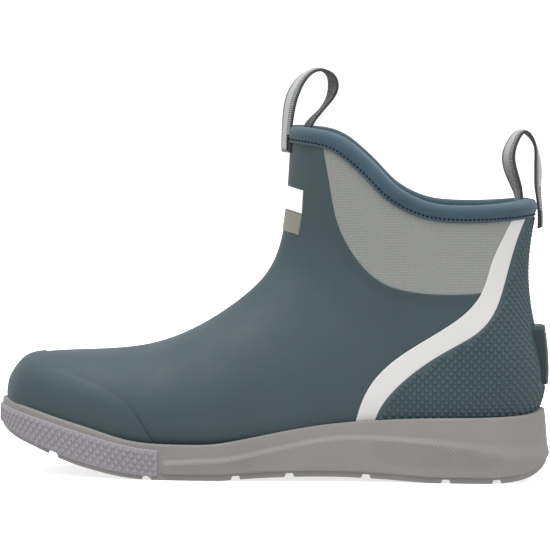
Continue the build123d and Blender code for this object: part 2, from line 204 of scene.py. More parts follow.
def skinAt(x, z, grow=0.0, side=-1):
    # the skin over a point (x, z) of the side view: the section through the point is found first, then the
    # superellipse gives the width there; side is -1 on the outer side of the foot and 1 on the inner side
    x, z, grow = np.broadcast_arrays(np.asarray(x, float), np.asarray(z, float), np.asarray(grow, float))
    s = np.linspace(0, stationAt[-1], 900)
    v = stationValues(s)
    dx, dz = v[:, 0] - v[:, 2], v[:, 1] - v[:, 3]
    flatX, flatZ = x.ravel(), z.ravel()
    turn = dx[:, None] * (flatZ[None] - v[:, 3:4]) - dz[:, None] * (flatX[None] - v[:, 2:3])
    before = turn < 0 if turn[0].mean() < 0 else turn > 0
    k = np.clip(before.argmin(axis=0), 1, None)
    c = np.arange(len(flatX))
    share = turn[k - 1, c] / (turn[k - 1, c] - turn[k, c])
    where = (s[k - 1] + share * (s[1] - s[0])).reshape(x.shape)
    v, up, height, middle = section(where, 0 * where)
    rise = (x - middle[..., 0]) * up[..., 0] + (z - middle[..., 1]) * up[..., 1]
    reach = np.where(rise > 0, height * (1 - v[..., 6]), height * v[..., 6])
    square = np.where(rise > 0, v[..., 8], v[..., 7])
    level = np.clip(np.abs(rise) / reach, 0, 0.9999)
    out = (1 - level**square) ** (1 / square)
    normalUp = np.sign(rise) * level ** (square - 1) / reach
    normalOut = out ** (square - 1) / v[..., 4]
    size = np.hypot(normalUp, normalOut)
    lift = grow * normalUp / size
    y = v[..., 5] + side * (out * v[..., 4] + grow * normalOut / size)
    return np.stack([x + up[..., 0] * lift, y, z + up[..., 1] * lift], -1)


def stationWhere(side, angles, grow=0.0, low=0.0, high=None):
    # for each angle, the station where the skin crosses a line: side(x, z) turns positive past it
    s = np.linspace(low, stationAt[-1] if high is None else high, 500)
    p = skin(s[:, None], angles[None, :], grow)
    f = side(p[..., 0], p[..., 2])
    k = np.clip((f > 0).argmax(axis=0), 1, None)
    c = np.arange(len(angles))
    return s[k - 1] + f[k - 1, c] / (f[k - 1, c] - f[k, c]) * (s[1] - s[0])


def angleWhere(side, stations, grow=0.0):
    # for each station, the angle on the outer side where the skin crosses a line, or pi where it never does
    a = np.linspace(0, pi, 500)
    p = skin(stations[:, None], a[None, :], grow)
    f = side(p[..., 0], p[..., 2])
    k = np.clip((f > 0).argmax(axis=1), 1, None)
    r = np.arange(len(stations))
    share = f[r, k - 1] / (f[r, k - 1] - f[r, k])
    return np.where(f.max(axis=1) > 0, a[k - 1] + share * (a[1] - a[0]), pi)


# meshes
def gridFaces(rows, columns, closeColumns=False, start=0):
    i = np.arange(rows - 1)[:, None]
    j = np.arange(columns if closeColumns else columns - 1)[None, :]
    right = (j + 1) % columns
    corners = [i * columns + j, i * columns + right, (i + 1) * columns + right, (i + 1) * columns + j]
    return start + np.stack(np.broadcast_arrays(*corners), -1).reshape(-1, 4)


def shellFaces(rows, columns):
    # an outer grid, an inner grid turned the other way, and four walls that join their borders
    outer = gridFaces(rows, columns)
    inner = gridFaces(rows, columns, start=rows * columns)[:, ::-1]
    number = np.arange(rows * columns).reshape(rows, columns)
    walls = []
    for border in (number[0, ::-1], number[-1], number[:, 0], number[::-1, -1]):
        a, b = border[:-1], border[1:]
        walls.append(np.stack([a, b, b + rows * columns, a + rows * columns], -1))
    return np.concatenate([outer, inner, *walls])


def makePiece(name, points, faces, material, replaced=(), body="boot", uv=None, crease=35):
    # puts arrays into a mesh: points that lie together are joined, faces that collapse become triangles
    points = np.asarray(points, float).reshape(-1, 3)
    faces = np.asarray(faces)
    keys = np.round(points * 500).astype(np.int64)
    _, first, back = np.unique(keys, axis=0, return_index=True, return_inverse=True)
    joined = back.reshape(-1)[faces]
    kept = points[first]
    ordered = np.sort(joined, axis=1)
    doubles = (np.diff(ordered, axis=1) == 0).sum(axis=1)
    quads, quadCorners = joined[doubles == 0], faces[doubles == 0]
    folded, foldedCorners = joined[doubles == 1], faces[doubles == 1]
    keep = folded != np.roll(folded, -1, axis=1)
    good = keep.sum(axis=1) == 3
    tris = folded[good][keep[good]].reshape(-1, 3)
    triCorners = foldedCorners[good][keep[good]].reshape(-1, 3)
    cut = np.concatenate([quads[:, [0, 1, 2]], quads[:, [0, 2, 3]], tris])
    a, b, c = kept[cut[:, 0]], kept[cut[:, 1]], kept[cut[:, 2]]
    if np.einsum("ij,ij->i", a, np.cross(b, c)).sum() < 0:
        quads, quadCorners, tris, triCorners = (q[:, ::-1] for q in (quads, quadCorners, tris, triCorners))
    mesh = bpy.data.meshes.new(name)
    mesh.from_pydata((kept * mm + shift).tolist(), [], quads.tolist() + tris.tolist())
    if uv is not None:
        flatUv = np.asarray(uv, float).reshape(-1, 2) * mm
        layer = mesh.uv_layers.new(name="UVMap")
        corners = np.concatenate([flatUv[quadCorners].reshape(-1, 2), flatUv[triCorners].reshape(-1, 2)])
        layer.data.foreach_set("uv", corners.astype(np.float32).ravel())
    mesh.shade_smooth()
    mesh.set_sharp_from_angle(angle=math.radians(crease))
    mesh.materials.append(material)
    piece = bpy.data.objects.new(name, mesh)
    bpy.context.scene.collection.objects.link(piece)
    if body:
        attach(piece, body)
    if replaced:
        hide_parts(*replaced)
    return piece


def arcs(points, axis):
    # running length along one direction of a grid
    step = np.linalg.norm(np.diff(points, axis=axis), axis=-1)
    total = np.cumsum(step, axis=axis)
    pad = [(0, 0), (0, 0)]
    pad[axis] = (1, 0)
    return np.pad(total, pad)


def roundedEdge(distance, radius):
    # 0 at an edge, rising on a quarter circle to 1 at radius
    t = np.clip(distance / radius, 0, 1)
    return np.sqrt(1 - (1 - t) ** 2)


print("curves and surfaces ready")


# materials
def addNode(tree, kind, sockets=None, **settings):
    node = tree.nodes.new(kind)
    for key, value in settings.items():
        setattr(node, key, value)
    for key, value in (sockets or {}).items():
        if isinstance(value, bpy.types.NodeSocket):
            tree.links.new(value, node.inputs[key])
        else:
            node.inputs[key].default_value = value
    return node


def startMaterial(name, colour, roughness, **sockets):
    material = bpy.data.materials.new(name)
    material.use_nodes = True
    tree = material.node_tree
    shader = tree.nodes["Principled BSDF"]
    shader.inputs["Base Color"].default_value = (*colour, 1)
    shader.inputs["Roughness"].default_value = roughness
    for key, value in sockets.items():
        shader.inputs[key.replace("_", " ")].default_value = value
    return material, tree, shader


def scaled(colour, factor):
    return tuple(min(c * factor, 1.0) for c in colour)


def mottle(tree, shader, place, colour, spread, scale, detail=4.0):
    # colour drifts between a darker and a lighter shade on a noise
    noise = addNode(tree, "ShaderNodeTexNoise", {"Vector": place, "Scale": scale, "Detail": detail})
    ramp = addNode(tree, "ShaderNodeValToRGB", {"Fac": noise.outputs["Fac"]})
    ramp.color_ramp.elements[0].position = 0.3
    ramp.color_ramp.elements[1].position = 0.7
    ramp.color_ramp.elements[0].color = (*scaled(colour, 1 - spread), 1)
    ramp.color_ramp.elements[1].color = (*scaled(colour, 1 + spread), 1)
    tree.links.new(ramp.outputs["Color"], shader.inputs["Base Color"])
    return ramp.outputs["Color"]


def varyRoughness(tree, shader, place, low, high, scale):
    noise = addNode(tree, "ShaderNodeTexNoise", {"Vector": place, "Scale": scale, "Detail": 3.0})
    spread = addNode(tree, "ShaderNodeMapRange", {"Value": noise.outputs["Fac"], "From Min": 0.3, "From Max": 0.7,
                                                  "To Min": low, "To Max": high})
    tree.links.new(spread.outputs["Result"], shader.inputs["Roughness"])


def addBump(tree, shader, height, strength, distance):
    bump = addNode(tree, "ShaderNodeBump", {"Height": height, "Strength": strength, "Distance": distance * mm})
    tree.links.new(bump.outputs["Normal"], shader.inputs["Normal"])


def objectPlace(tree):
    return tree.nodes.new("ShaderNodeTexCoord").outputs["Object"]


def mathNode(tree, operation, first, second=0.0):
    return addNode(tree, "ShaderNodeMath", {0: first, 1: second}, operation=operation).outputs[0]


def rubberMaterial(name, colour, roughness, grain=0.25, spread=0.04, sheen=0.0, grainScale=900.0):
    # moulded rubber: faint drift of shade, fine matt grain
    material, tree, shader = startMaterial(name, colour, roughness, Sheen_Weight=sheen, Sheen_Roughness=0.4,
                                           Specular_IOR_Level=0.28)
    place = objectPlace(tree)
    mottle(tree, shader, place, colour, spread, 22.0)
    varyRoughness(tree, shader, place, roughness - 0.06, roughness + 0.06, 60.0)
    noise = addNode(tree, "ShaderNodeTexNoise", {"Vector": place, "Scale": grainScale, "Detail": 3.0})
    addBump(tree, shader, noise.outputs["Fac"], 0.35, grain)
    return material


def uvWaves(tree, pitchAlong, pitchAcross):
    # two rounded waves along the piece's own UV map, in metres
    uv = addNode(tree, "ShaderNodeUVMap", uv_map="UVMap").outputs["UV"]
    parts = addNode(tree, "ShaderNodeSeparateXYZ", {"Vector": uv})
    waves = []
    for output, pitch in (("X", pitchAlong), ("Y", pitchAcross)):
        turned = mathNode(tree, "MULTIPLY", parts.outputs[output], 2 * pi / (pitch * mm))
        waves.append(mathNode(tree, "SINE", turned))
    return uv, waves


finish = {
    "upper": (0.032, 0.053, 0.060),
    "heelCover": (0.036, 0.060, 0.069),
    "gore": (0.200, 0.206, 0.195),
    "stripe": (0.50, 0.495, 0.488),
    "binding": (0.040, 0.068, 0.090),
    "bumper": (0.215, 0.207, 0.221),
    "midsole": (0.182, 0.175, 0.169),
    "outsole": (0.182, 0.175, 0.169),
    "webbing": (0.150, 0.165, 0.170),
    "tape": (0.29, 0.295, 0.29),
    "thread": (0.004, 0.008, 0.012),
    "lining": (0.012, 0.018, 0.022),
}

upperRubber = rubberMaterial("upperRubber", finish["upper"], 0.6)
heelRubber = rubberMaterial("heelCoverRubber", finish["heelCover"], 0.55)
bumperRubber = rubberMaterial("bumperRubber", finish["bumper"], 0.66)
midsoleFoam = rubberMaterial("midsoleFoam", finish["midsole"], 0.68, spread=0.05, grain=0.18)
outsoleRubber = rubberMaterial("outsoleRubber", finish["outsole"], 0.64, spread=0.06)
stripeRubber = rubberMaterial("stripeRubber", finish["stripe"], 0.5, spread=0.012, grain=0.06)
kickRubber = rubberMaterial("kickPlateRubber", (0.018, 0.031, 0.035), 0.55)
boardFibre = rubberMaterial("lastingBoardFibre", (0.42, 0.36, 0.27), 0.9, spread=0.12)
footbedFoam = rubberMaterial("footbedFoam", (0.12, 0.13, 0.14), 0.9, spread=0.08)
stiffenerBoard = rubberMaterial("stiffenerBoard", (0.16, 0.15, 0.14), 0.85, spread=0.08)


def goreFabric():
    # stretch fabric: raised cross ribs with a finer upright knit between them
    material, tree, shader = startMaterial("goreFabric", finish["gore"], 0.9, Sheen_Weight=0.35, Sheen_Roughness=0.5,
                                           Specular_IOR_Level=0.2)
    uv, (upright, rib) = uvWaves(tree, 0.95, 1.35)
    noise = addNode(tree, "ShaderNodeTexNoise", {"Vector": uv, "Scale": 900.0, "Detail": 4.0})
    knit = mathNode(tree, "MULTIPLY", mathNode(tree, "ADD", upright, 1.0), 0.16)
    height = mathNode(tree, "ADD", mathNode(tree, "MULTIPLY", mathNode(tree, "ADD", rib, 1.0), 0.16), knit)
    rough = mathNode(tree, "ADD", height, mathNode(tree, "MULTIPLY", noise.outputs["Fac"], 0.9))
    shade = addNode(tree, "ShaderNodeMapRange", {"Value": rough, "From Min": 0.2, "From Max": 1.4})
    ramp = addNode(tree, "ShaderNodeValToRGB", {"Fac": shade.outputs["Result"]})
    ramp.color_ramp.elements[0].color = (*scaled(finish["gore"], 0.74), 1)
    ramp.color_ramp.elements[1].color = (*scaled(finish["gore"], 1.26), 1)
    tree.links.new(ramp.outputs["Color"], shader.inputs["Base Color"])
    addBump(tree, shader, rough, 0.6, 0.25)
    return material


def webbingFabric(name, colour, pitch):
    # woven strap: cross ribs along its length, each split into threads; the outer face is darker along its two edges
    # and the inner face is painted shade
    material, tree, shader = startMaterial(name, colour, 0.85, Sheen_Weight=0.3, Sheen_Roughness=0.5,
                                           Specular_IOR_Level=0.25)
    uv, (thread, rib) = uvWaves(tree, 0.7, pitch)
    woven = mathNode(tree, "ADD", mathNode(tree, "MULTIPLY", thread, 0.35), rib)
    shade = addNode(tree, "ShaderNodeMapRange", {"Value": woven, "From Min": -1.2, "From Max": 1.2})
    ramp = addNode(tree, "ShaderNodeValToRGB", {"Fac": shade.outputs["Result"]})
    ramp.color_ramp.elements[0].color = (*scaled(colour, 0.45), 1)
    ramp.color_ramp.elements[1].color = (*scaled(colour, 1.45), 1)
    across = addNode(tree, "ShaderNodeSeparateXYZ", {"Vector": uv}).outputs["X"]
    # across the strap: the outer face darker along both edges, the inner face a darker copy of the same webbing as
    # painted shade
    edgesAndInnerShade = addNode(tree, "ShaderNodeValToRGB", {"Fac": mathNode(tree, "MULTIPLY", across, 1 / (24 * mm))})
    steps = [(0.0, 0.16), (0.035, 0.2), (0.06, 1.0), (0.44, 1.0), (0.465, 0.2), (0.5, 0.16), (0.6, 0.3), (0.9, 0.3)]
    for (place, share), element in zip(steps, [*edgesAndInnerShade.color_ramp.elements] + [None] * 6):
        element = element or edgesAndInnerShade.color_ramp.elements.new(place)
        element.position = place
        element.color = (share, share, share, 1)
    both = addNode(tree, "ShaderNodeMix", {"Factor": 1.0, "A": ramp.outputs["Color"], "B": edgesAndInnerShade.outputs["Color"]},
                   data_type="RGBA", blend_type="MULTIPLY")
    tree.links.new(both.outputs["Result"], shader.inputs["Base Color"])
    addBump(tree, shader, woven, 0.8, 0.3)
    return material


def knitFabric(name, colour, scale):
    # dense lining cloth: tiny cells with a soft nap
    material, tree, shader = startMaterial(name, colour, 0.95, Sheen_Weight=0.15, Specular_IOR_Level=0.15)
    place = objectPlace(tree)
    mottle(tree, shader, place, colour, 0.12, 40.0)
    cells = addNode(tree, "ShaderNodeTexVoronoi", {"Vector": place, "Scale": scale})
    addBump(tree, shader, cells.outputs["Distance"], 0.6, 0.4)
    return material


def threadMaterial():
    material, tree, shader = startMaterial("thread", finish["thread"], 0.7, Specular_IOR_Level=0.1)
    place = objectPlace(tree)
    mottle(tree, shader, place, finish["thread"], 0.3, 900.0)
    twist = addNode(tree, "ShaderNodeTexWave", {"Vector": place, "Scale": 1500.0, "Distortion": 1.0},
                    bands_direction="DIAGONAL")
    addBump(tree, shader, twist.outputs["Fac"], 0.5, 0.1)
    return material


def tapeMaterial():
    # reflective tape: tiny beads under a clear film, so it is bright and slightly glossy
    material, tree, shader = startMaterial("reflectiveTape", finish["tape"], 0.42, Specular_IOR_Level=0.6)
    _, (across, along) = uvWaves(tree, 0.8, 0.8)
    cells = mathNode(tree, "MULTIPLY", across, along)
    shade = addNode(tree, "ShaderNodeMapRange", {"Value": cells, "From Min": -1.0, "From Max": 1.0})
    ramp = addNode(tree, "ShaderNodeValToRGB", {"Fac": shade.outputs["Result"]})
    ramp.color_ramp.elements[0].color = (*scaled(finish["tape"], 0.85), 1)
    ramp.color_ramp.elements[1].color = (*scaled(finish["tape"], 1.1), 1)
    tree.links.new(ramp.outputs["Color"], shader.inputs["Base Color"])
    addBump(tree, shader, cells, 0.3, 0.1)
    return material


gore = goreFabric()
webbing = webbingFabric("webbing", finish["webbing"], 1.15)
bindingRubber = knitFabric("bindingNeoprene", finish["binding"], 1500.0)
liningCloth = knitFabric("liningCloth", finish["lining"], 900.0)
thread = threadMaterial()
tape = tapeMaterial()
print("materials ready")

# lines that several pieces share
lines = {
    "collar": [(-40.0, 179.3), (2.0, 178.9), (16.0, 177.8), (26.0, 175.8), (34.0, 171.8), (41.5, 166.0),
               (49.0, 159.2), (57.0, 151.3), (66.0, 145.6), (76.0, 142.0), (88.0, 140.7), (102.0, 140.8),
               (116.0, 141.7), (130.0, 143.0), (160.0, 144.5)],
    "feather": [(-160.0, 44.5), (-141.0, 37.8), (-131.0, 35.2), (-115.0, 30.6), (-95.0, 25.2), (-75.0, 19.8),
                (-62.0, 18.4), (-46.0, 18.1), (-31.0, 18.6), (-18.0, 20.8), (0.0, 24.6), (20.0, 28.3),
                (45.0, 31.1), (75.0, 32.8), (105.0, 33.5), (124.0, 34.2), (133.0, 35.2), (141.0, 38.0), (160.0, 46.0)],
    "stripeFront": [(121.4, 145.0), (116.8, 132.8), (107.4, 111.5), (103.8, 99.5), (95.6, 87.2), (80.4, 76.0),
                    (61.9, 64.0), (48.7, 51.3), (42.2, 38.4), (38.6, 24.0)],
    "stripeBack": [(131.5, 148.0), (124.6, 134.6), (117.6, 114.0), (113.4, 97.5), (108.6, 85.0), (99.4, 75.0),
                   (85.2, 66.5), (64.6, 51.6), (53.2, 38.5), (48.0, 24.0)],
    "capEdge": [(-123.0, 80.0), (-119.5, 61.5), (-113.5, 57.0), (-99.7, 51.0), (-85.2, 45.0), (-73.3, 35.2),
                (-64.7, 22.8), (-58.0, 10.0)],
    "bindingWidth": 8.4,
}

collarHeight = heightLine(lines["collar"])
featherHeight = heightLine(lines["feather"])
bindingLow = heightLine(movedSideways(lines["collar"], -lines["bindingWidth"]))
shellTop = heightLine(movedSideways(lines["collar"], -3.0))
underBinding = heightLine(movedSideways(lines["collar"], -lines["bindingWidth"] + 1.6))
stripeFrontX = depthLine(lines["stripeFront"])
stripeBackX = depthLine(lines["stripeBack"])
capEdgeX = depthLine(lines["capEdge"])


def overSkin(name, s, a, thickness, sink, material, replaced, relief=0.0):
    # a layer on the skin over a grid of (s, a): the outer face stands thickness off it and curves down at the
    # grid's rims on quarter circles, the inner face lies sink under it
    base = skin(s, a)
    along, across = arcs(base, 0), arcs(base, 1)
    edge = np.minimum(np.minimum(along, along[-1] - along), np.minimum(across, across[:, -1:] - across))
    outer = skin(s, a, thickness * roundedEdge(edge, thickness) - sink * (edge <= 0) + relief)
    inner = skin(s, a, -sink)
    uv = np.stack([across, along], -1)
    return makePiece(name, np.concatenate([outer.reshape(-1, 3), inner.reshape(-1, 3)]), shellFaces(*s.shape),
                     material, replaced, uv=np.concatenate([uv.reshape(-1, 2)] * 2))


def edgeSpread(count, crowd):
    # 0 to 1 with the steps crowded at both ends
    t = np.linspace(-1, 1, count)
    return (np.tanh(t * crowd) / np.tanh(crowd) + 1) / 2


# rubber shell and lining
shell = {"rows": 170, "around": 200, "linerRows": 90, "linerAround": 120, "linerStart": 2.0}


def cuppedShell(outer, inner, outerPole, innerPole):
    # a double wall closed at a pole (first row) and joined at its rim (last row): rows run pole to rim, columns round
    outer = np.concatenate([np.broadcast_to(outerPole, (1, *outer.shape[1:])), outer])
    inner = np.concatenate([np.broadcast_to(innerPole, (1, *inner.shape[1:])), inner])
    rows, columns = outer.shape[:2]
    rim = np.arange((rows - 1) * columns, rows * columns)
    wall = np.stack([rim[:-1], rim[1:], rim[1:] + rows * columns, rim[:-1] + rows * columns], -1)
    faces = np.concatenate([gridFaces(rows, columns), gridFaces(rows, columns, start=rows * columns)[:, ::-1], wall])
    return np.concatenate([outer.reshape(-1, 3), inner.reshape(-1, 3)]), faces


def buildShell():
    # the skin from the toe's pole to the collar, and the same surface moved in by the wall
    a = np.linspace(0, 2 * pi, shell["around"])
    top = stationWhere(lambda x, z: z - shellTop(x), a, low=atStation(9))
    s = np.linspace(0, 1, shell["rows"])[:, None] ** 1.25 * top[None, :]
    outer = skin(s, a[None, :])
    inner = skin(s, a[None, :], -last["shellWall"])
    nose = outer[0].mean(axis=0)
    points, faces = cuppedShell(outer, inner, nose - [0.25, 0, 0], nose + [1.0, 0, 0])
    makePiece("upper_shell_skin", points, faces, upperRubber, ("upper_shell",))


def buildLining():
    # the skin moved in to the liner's two faces, from near the toe to the collar
    a = np.linspace(0, 2 * pi, shell["linerAround"])
    top = stationWhere(lambda x, z: z - shellTop(x), a, low=atStation(9))
    low = atStation(shell["linerStart"])
    s = low + np.linspace(0, 1, shell["linerRows"])[:, None] * (top - low)[None, :]
    outer, inner = (skin(s, a[None, :], last[key]) for key in ("linerOut", "linerIn"))
    points, faces = cuppedShell(outer, inner, outer[0].mean(axis=0), inner[0].mean(axis=0))
    makePiece("bootie_lining", points, faces, liningCloth, ("bootie_liner",))


insole = {
    "line": [(-160.0, 42.0), (-130.0, 36.5), (-110.0, 29.5), (-90.0, 25.0), (-65.0, 22.3), (-38.0, 22.3),
             (-5.0, 25.2), (35.0, 29.2), (80.0, 31.4), (110.0, 33.0), (128.0, 37.0), (160.0, 48.0)],
    "cover": 0.9,
    "sink": 0.3,
    "ends": (-121.0, 122.5),
    "rows": 120,
    "columns": 50,
    "inside": 0.3,
}


def buildFootbedCover():
    # a thin sheet over the footbed: across the cavity from wall to wall, at the height of the footbed's line
    share = (1 - np.cos(np.linspace(0, pi, insole["rows"]))) / 2
    x = insole["ends"][0] + share * (insole["ends"][1] - insole["ends"][0])
    z = heightLine(insole["line"])(x)
    outer, inner = (skinAt(x, z, last["linerIn"] + insole["inside"], side)[:, 1] for side in (-1, 1))
    u = np.linspace(0, 1, insole["columns"])[None, :]
    y = outer[:, None] * (1 - u) + inner[:, None] * u
    grid = np.stack([x[:, None] + 0 * y, y, z[:, None] + insole["cover"] + 0 * y], -1)
    under = grid - [0, 0, insole["cover"] + insole["sink"]]
    piece = makePiece("footbed_cover_sheet", np.concatenate([grid.reshape(-1, 3), under.reshape(-1, 3)]),
                      shellFaces(*y.shape), liningCloth, ("footbed_cover",))


buildShell()
buildLining()
buildFootbedCover()
print("shell, lining and footbed cover made")

# layers on the shell
overlay = {"thickness": 1.0, "stripeThickness": 0.6, "sink": 0.35, "firstStation": 10.15, "lastStation": 16.2}


def buildToeCap():
    # the skin from the toe's pole back to the cap's edge line, raised by the overlay's thickness
    a = np.linspace(0, 2 * pi, 220)
    end = stationWhere(lambda x, z: x - capEdgeX(z), a, high=atStation(11))
    rows = np.r_[np.linspace(0, 0.94, 70), 1 - 0.06 * (1 - np.linspace(0, 1, 22)[1:]) ** 1.6]
    s = rows[:, None] * end[None, :]
    base = skin(s, a[None, :])
    along = arcs(base, 0)
    # the overlay's edge is thin over the forefoot and full at the sole and on the crown of the toe
    height = base[-1, :, 2]
    full = 0.4 + 0.6 * smoothStep(50.0, 30.0, height) + 0.5 * smoothStep(59.0, 62.5, height)
    rim = along[-1] - along
    fade = full + (1 - full) * smoothStep(1.0, 14.0, rim)
    lift = overlay["thickness"] * roundedEdge(rim, 0.3) * fade
    outer = skin(s, a[None, :], lift - 0.3 * (rim <= 0))
    inner = skin(s, a[None, :], -overlay["sink"])
    points, faces = cuppedShell(outer, inner, outer[0].mean(axis=0) - [0.2, 0, 0], inner[0].mean(axis=0))
    makePiece("toe_cap_overlay", points, faces, upperRubber, ("toe_cap",))


def panelGrid(frontX, backX, rows, columns, topLine):
    # (s, a) grid on the outer side between two lines; without a back line it runs on round the heel to the
    # same line on the inner side
    stations = np.linspace(atStation(overlay["firstStation"]), atStation(17.5), 120)
    front = angleWhere(lambda x, z: x - frontX(z), stations)
    back = angleWhere(lambda x, z: x - backX(z), stations) if backX else 2 * pi - front
    u = edgeSpread(columns, 1.6)
    guess = atStation(overlay["lastStation"])
    a = np.interp(guess, stations, front) * (1 - u) + np.interp(guess, stations, back) * u
    end = stationWhere(lambda x, z: z - topLine(x), a, low=atStation(13))
    s = stations[0] + edgeSpread(rows, 1.2)[:, None] * (end - stations[0])[None, :]
    return s, np.interp(s, stations, front) * (1 - u) + np.interp(s, stations, back) * u


def buildHeelCover():
    # the skin behind the stripe, round the heel, from the sole to the binding
    s, a = panelGrid(stripeBackX, None, 110, 200, underBinding)
    overSkin("heel_cover_base", s, a, overlay["thickness"], overlay["sink"], heelRubber,
             ("heel_cover",))


def buildStripes():
    # the skin between the stripe's two edge lines; the inner side is the same at mirrored angles
    s, a = panelGrid(stripeFrontX, stripeBackX, 150, 24, underBinding)
    overSkin("side_stripe_outer_band", s, a, overlay["stripeThickness"], overlay["sink"], stripeRubber,
             ("side_stripe_lateral",))
    overSkin("side_stripe_inner_band", s, 2 * pi - a, overlay["stripeThickness"], overlay["sink"], stripeRubber,
             ("side_stripe_medial",))


buildToeCap()
buildHeelCover()
buildStripes()
print("toe cap, heel cover and stripes made")

# stretch panels and the rubber edge in front of and under them
panel = {
    "edge": [(19.5, 176.0), (20.8, 167.8), (24.0, 151.0), (29.0, 129.4), (37.8, 113.5), (51.2, 101.0),
             (71.2, 95.8), (94.8, 95.6), (114.0, 97.5)],
    "lift": 0.15,
    "sink": 0.8,
    "lipHeight": 0.75,
    "lipReach": 7.0,
}


def buildGores():
    # ruled patch of the side view from the panel's edge to a line under the binding, laid on the skin
    edge, _ = smoothPath(panel["edge"], 90)
    topX = np.interp(np.linspace(0, 1, 90), [0, 0.3, 1], [19.8, 42.0, 123.0])
    top = np.stack([topX, underBinding(topX)], -1)
    v = np.linspace(0, 1, 70)[:, None, None]
    patch = edge[None] * (1 - v) + top[None] * v
    x, z = patch[..., 0], patch[..., 1]
    for side, name, node in ((-1, "gore_panel_outer_side", "gore_panel_lateral"),
                             (1, "gore_panel_inner_side", "gore_panel_medial")):
        outer = skinAt(x, z, panel["lift"], side)
        inner = skinAt(x, z, -panel["sink"], side)
        uv = np.stack([x, z], -1).reshape(-1, 2)
        piece = makePiece(name, np.concatenate([outer.reshape(-1, 3), inner.reshape(-1, 3)]), shellFaces(*x.shape),
                          gore, (node,), uv=np.concatenate([uv, uv]))


def buildGoreLips():
    # a strip along the panel's edge: steep towards the panel, fading into the shell on the other side
    edge, _ = smoothPath(panel["edge"], 260)
    t = np.gradient(edge, axis=0)
    t /= np.linalg.norm(t, axis=1)[:, None]
    inward = np.stack([-t[:, 1], t[:, 0]], -1)   # towards the panel
    d = np.r_[0.45, 0.42, 0.3, 0.1, -0.2, -0.6, -1.2, -2.0, -3.0, -4.0, -5.0, -6.0, -panel["lipReach"]]
    h = np.r_[-0.6, 0.25, 0.55, 0.7, 0.75, 0.72, 0.62, 0.48, 0.32, 0.18, 0.08, 0.01, -0.08]
    h = h * panel["lipHeight"] / h.max()
    flat = edge[None] + inward[None] * d[:, None, None]
    hidden = smoothStep(-1.0, 0.8, flat[..., 0] - stripeFrontX(flat[..., 1]))   # sinks where the stripe covers it
    lift = h[:, None] * (1 - hidden) - 0.1 * hidden
    for side, name in ((-1, "gore_edge_outer_side"), (1, "gore_edge_inner_side")):
        outer = skinAt(flat[..., 0], flat[..., 1], lift, side)
        inner = skinAt(flat[..., 0], flat[..., 1], -0.6, side)
        makePiece(name, np.concatenate([outer.reshape(-1, 3), inner.reshape(-1, 3)]), shellFaces(*flat.shape[:2]),
                  upperRubber, ())


buildGores()
buildGoreLips()
print("stretch panels made")

# collar binding and its stitches
binding = {
    # one turn round its section: outwards from the shell, and up from the collar line
    "section": [(0.2, -8.5), (1.35, -8.35), (1.7, -7.8), (1.6, -7.2), (1.45, -6.75), (1.65, -6.1), (2.05, -4.8),
                (2.25, -3.2), (1.7, -1.4), (0.2, -0.3), (-2.85, 0.0), (-5.9, -0.3), (-7.4, -1.4), (-7.9, -3.2),
                (-7.7, -4.8), (-7.2, -6.1), (-6.85, -6.75), (-7.2, -7.2), (-7.35, -7.8), (-7.0, -8.35), (-5.9, -8.5),
                (-5.0, -6.0), (-4.0, -3.4), (-2.85, -2.9), (-1.7, -3.4), (-0.4, -6.0)],
    "sectionPoints": 72,
    "around": 420,
    "strapHalf": 5.6,
    "stitchPitch": 2.2,
    "stitchLength": 1.45,
    "stitchWidth": 0.8,
}


def collarFrame(a):
    # points of the collar line at each angle, with directions out of the wall, up along it and round the collar
    where = stationWhere(lambda x, z: z - collarHeight(x), a, low=atStation(10))
    point = skin(where, a)
    step = 0.02
    rise = skin(where + step, a) - skin(where - step, a)
    round_ = np.gradient(point, axis=0)
    round_[0] = round_[-1] = point[1] - point[-2]
    turn = skin(where, a + step) - skin(where, a - step)
    out = np.cross(turn, rise)
    out /= np.linalg.norm(out, axis=1)[:, None]
    inside = np.einsum("ij,ij->i", out, point - point.mean(axis=0)) < 0
    out[inside] *= -1
    round_ /= np.linalg.norm(round_, axis=1)[:, None]
    up = np.cross(round_, out)
    up *= np.sign(up[:, 2:3])
    return point, out, up, round_


def buildBinding():
    # the roll's section carried round the collar line
    a = np.linspace(0, 2 * pi, binding["around"])
    point, out, up, _ = collarFrame(a)
    section, _ = smoothPath(binding["section"], binding["sectionPoints"], closed=True)
    # the straps press the outer half of the roll flat where their ends are sewn
    pressed = 1 - smoothStep(binding["strapHalf"], binding["strapHalf"] + 2.5, np.abs(point[:, 1]))
    share = np.where(section[:, 0, None] > 0, 1 - 0.85 * pressed[None, :], 1.0)
    grid = point[None] + (section[:, 0, None] * share)[..., None] * out[None] + section[:, 1, None, None] * up[None]
    makePiece("collar_binding_roll", grid, gridFaces(*grid.shape[:2]), bindingRubber,
              ("collar_binding",))


def capsules(centre, along, across, out, length, width, height):
    # small closed lozenges: five rings of six points, the end rings shrunk to points
    ring = np.arange(7) * pi / 3
    place = np.array([-0.5, -0.38, 0.0, 0.38, 0.5])
    size = np.array([0.0, 0.75, 1.0, 0.75, 0.0])
    p = (centre[:, None, None]
         + along[:, None, None] * (place * length)[None, :, None, None]
         + across[:, None, None] * (size[:, None] * np.cos(ring) * width / 2)[None, :, :, None]
         + out[:, None, None] * (size[:, None] * np.sin(ring) * height)[None, :, :, None])
    faces = gridFaces(5, 7)
    count = len(centre)
    return p.reshape(-1, 3), (faces[None] + 35 * np.arange(count)[:, None, None]).reshape(-1, 4)


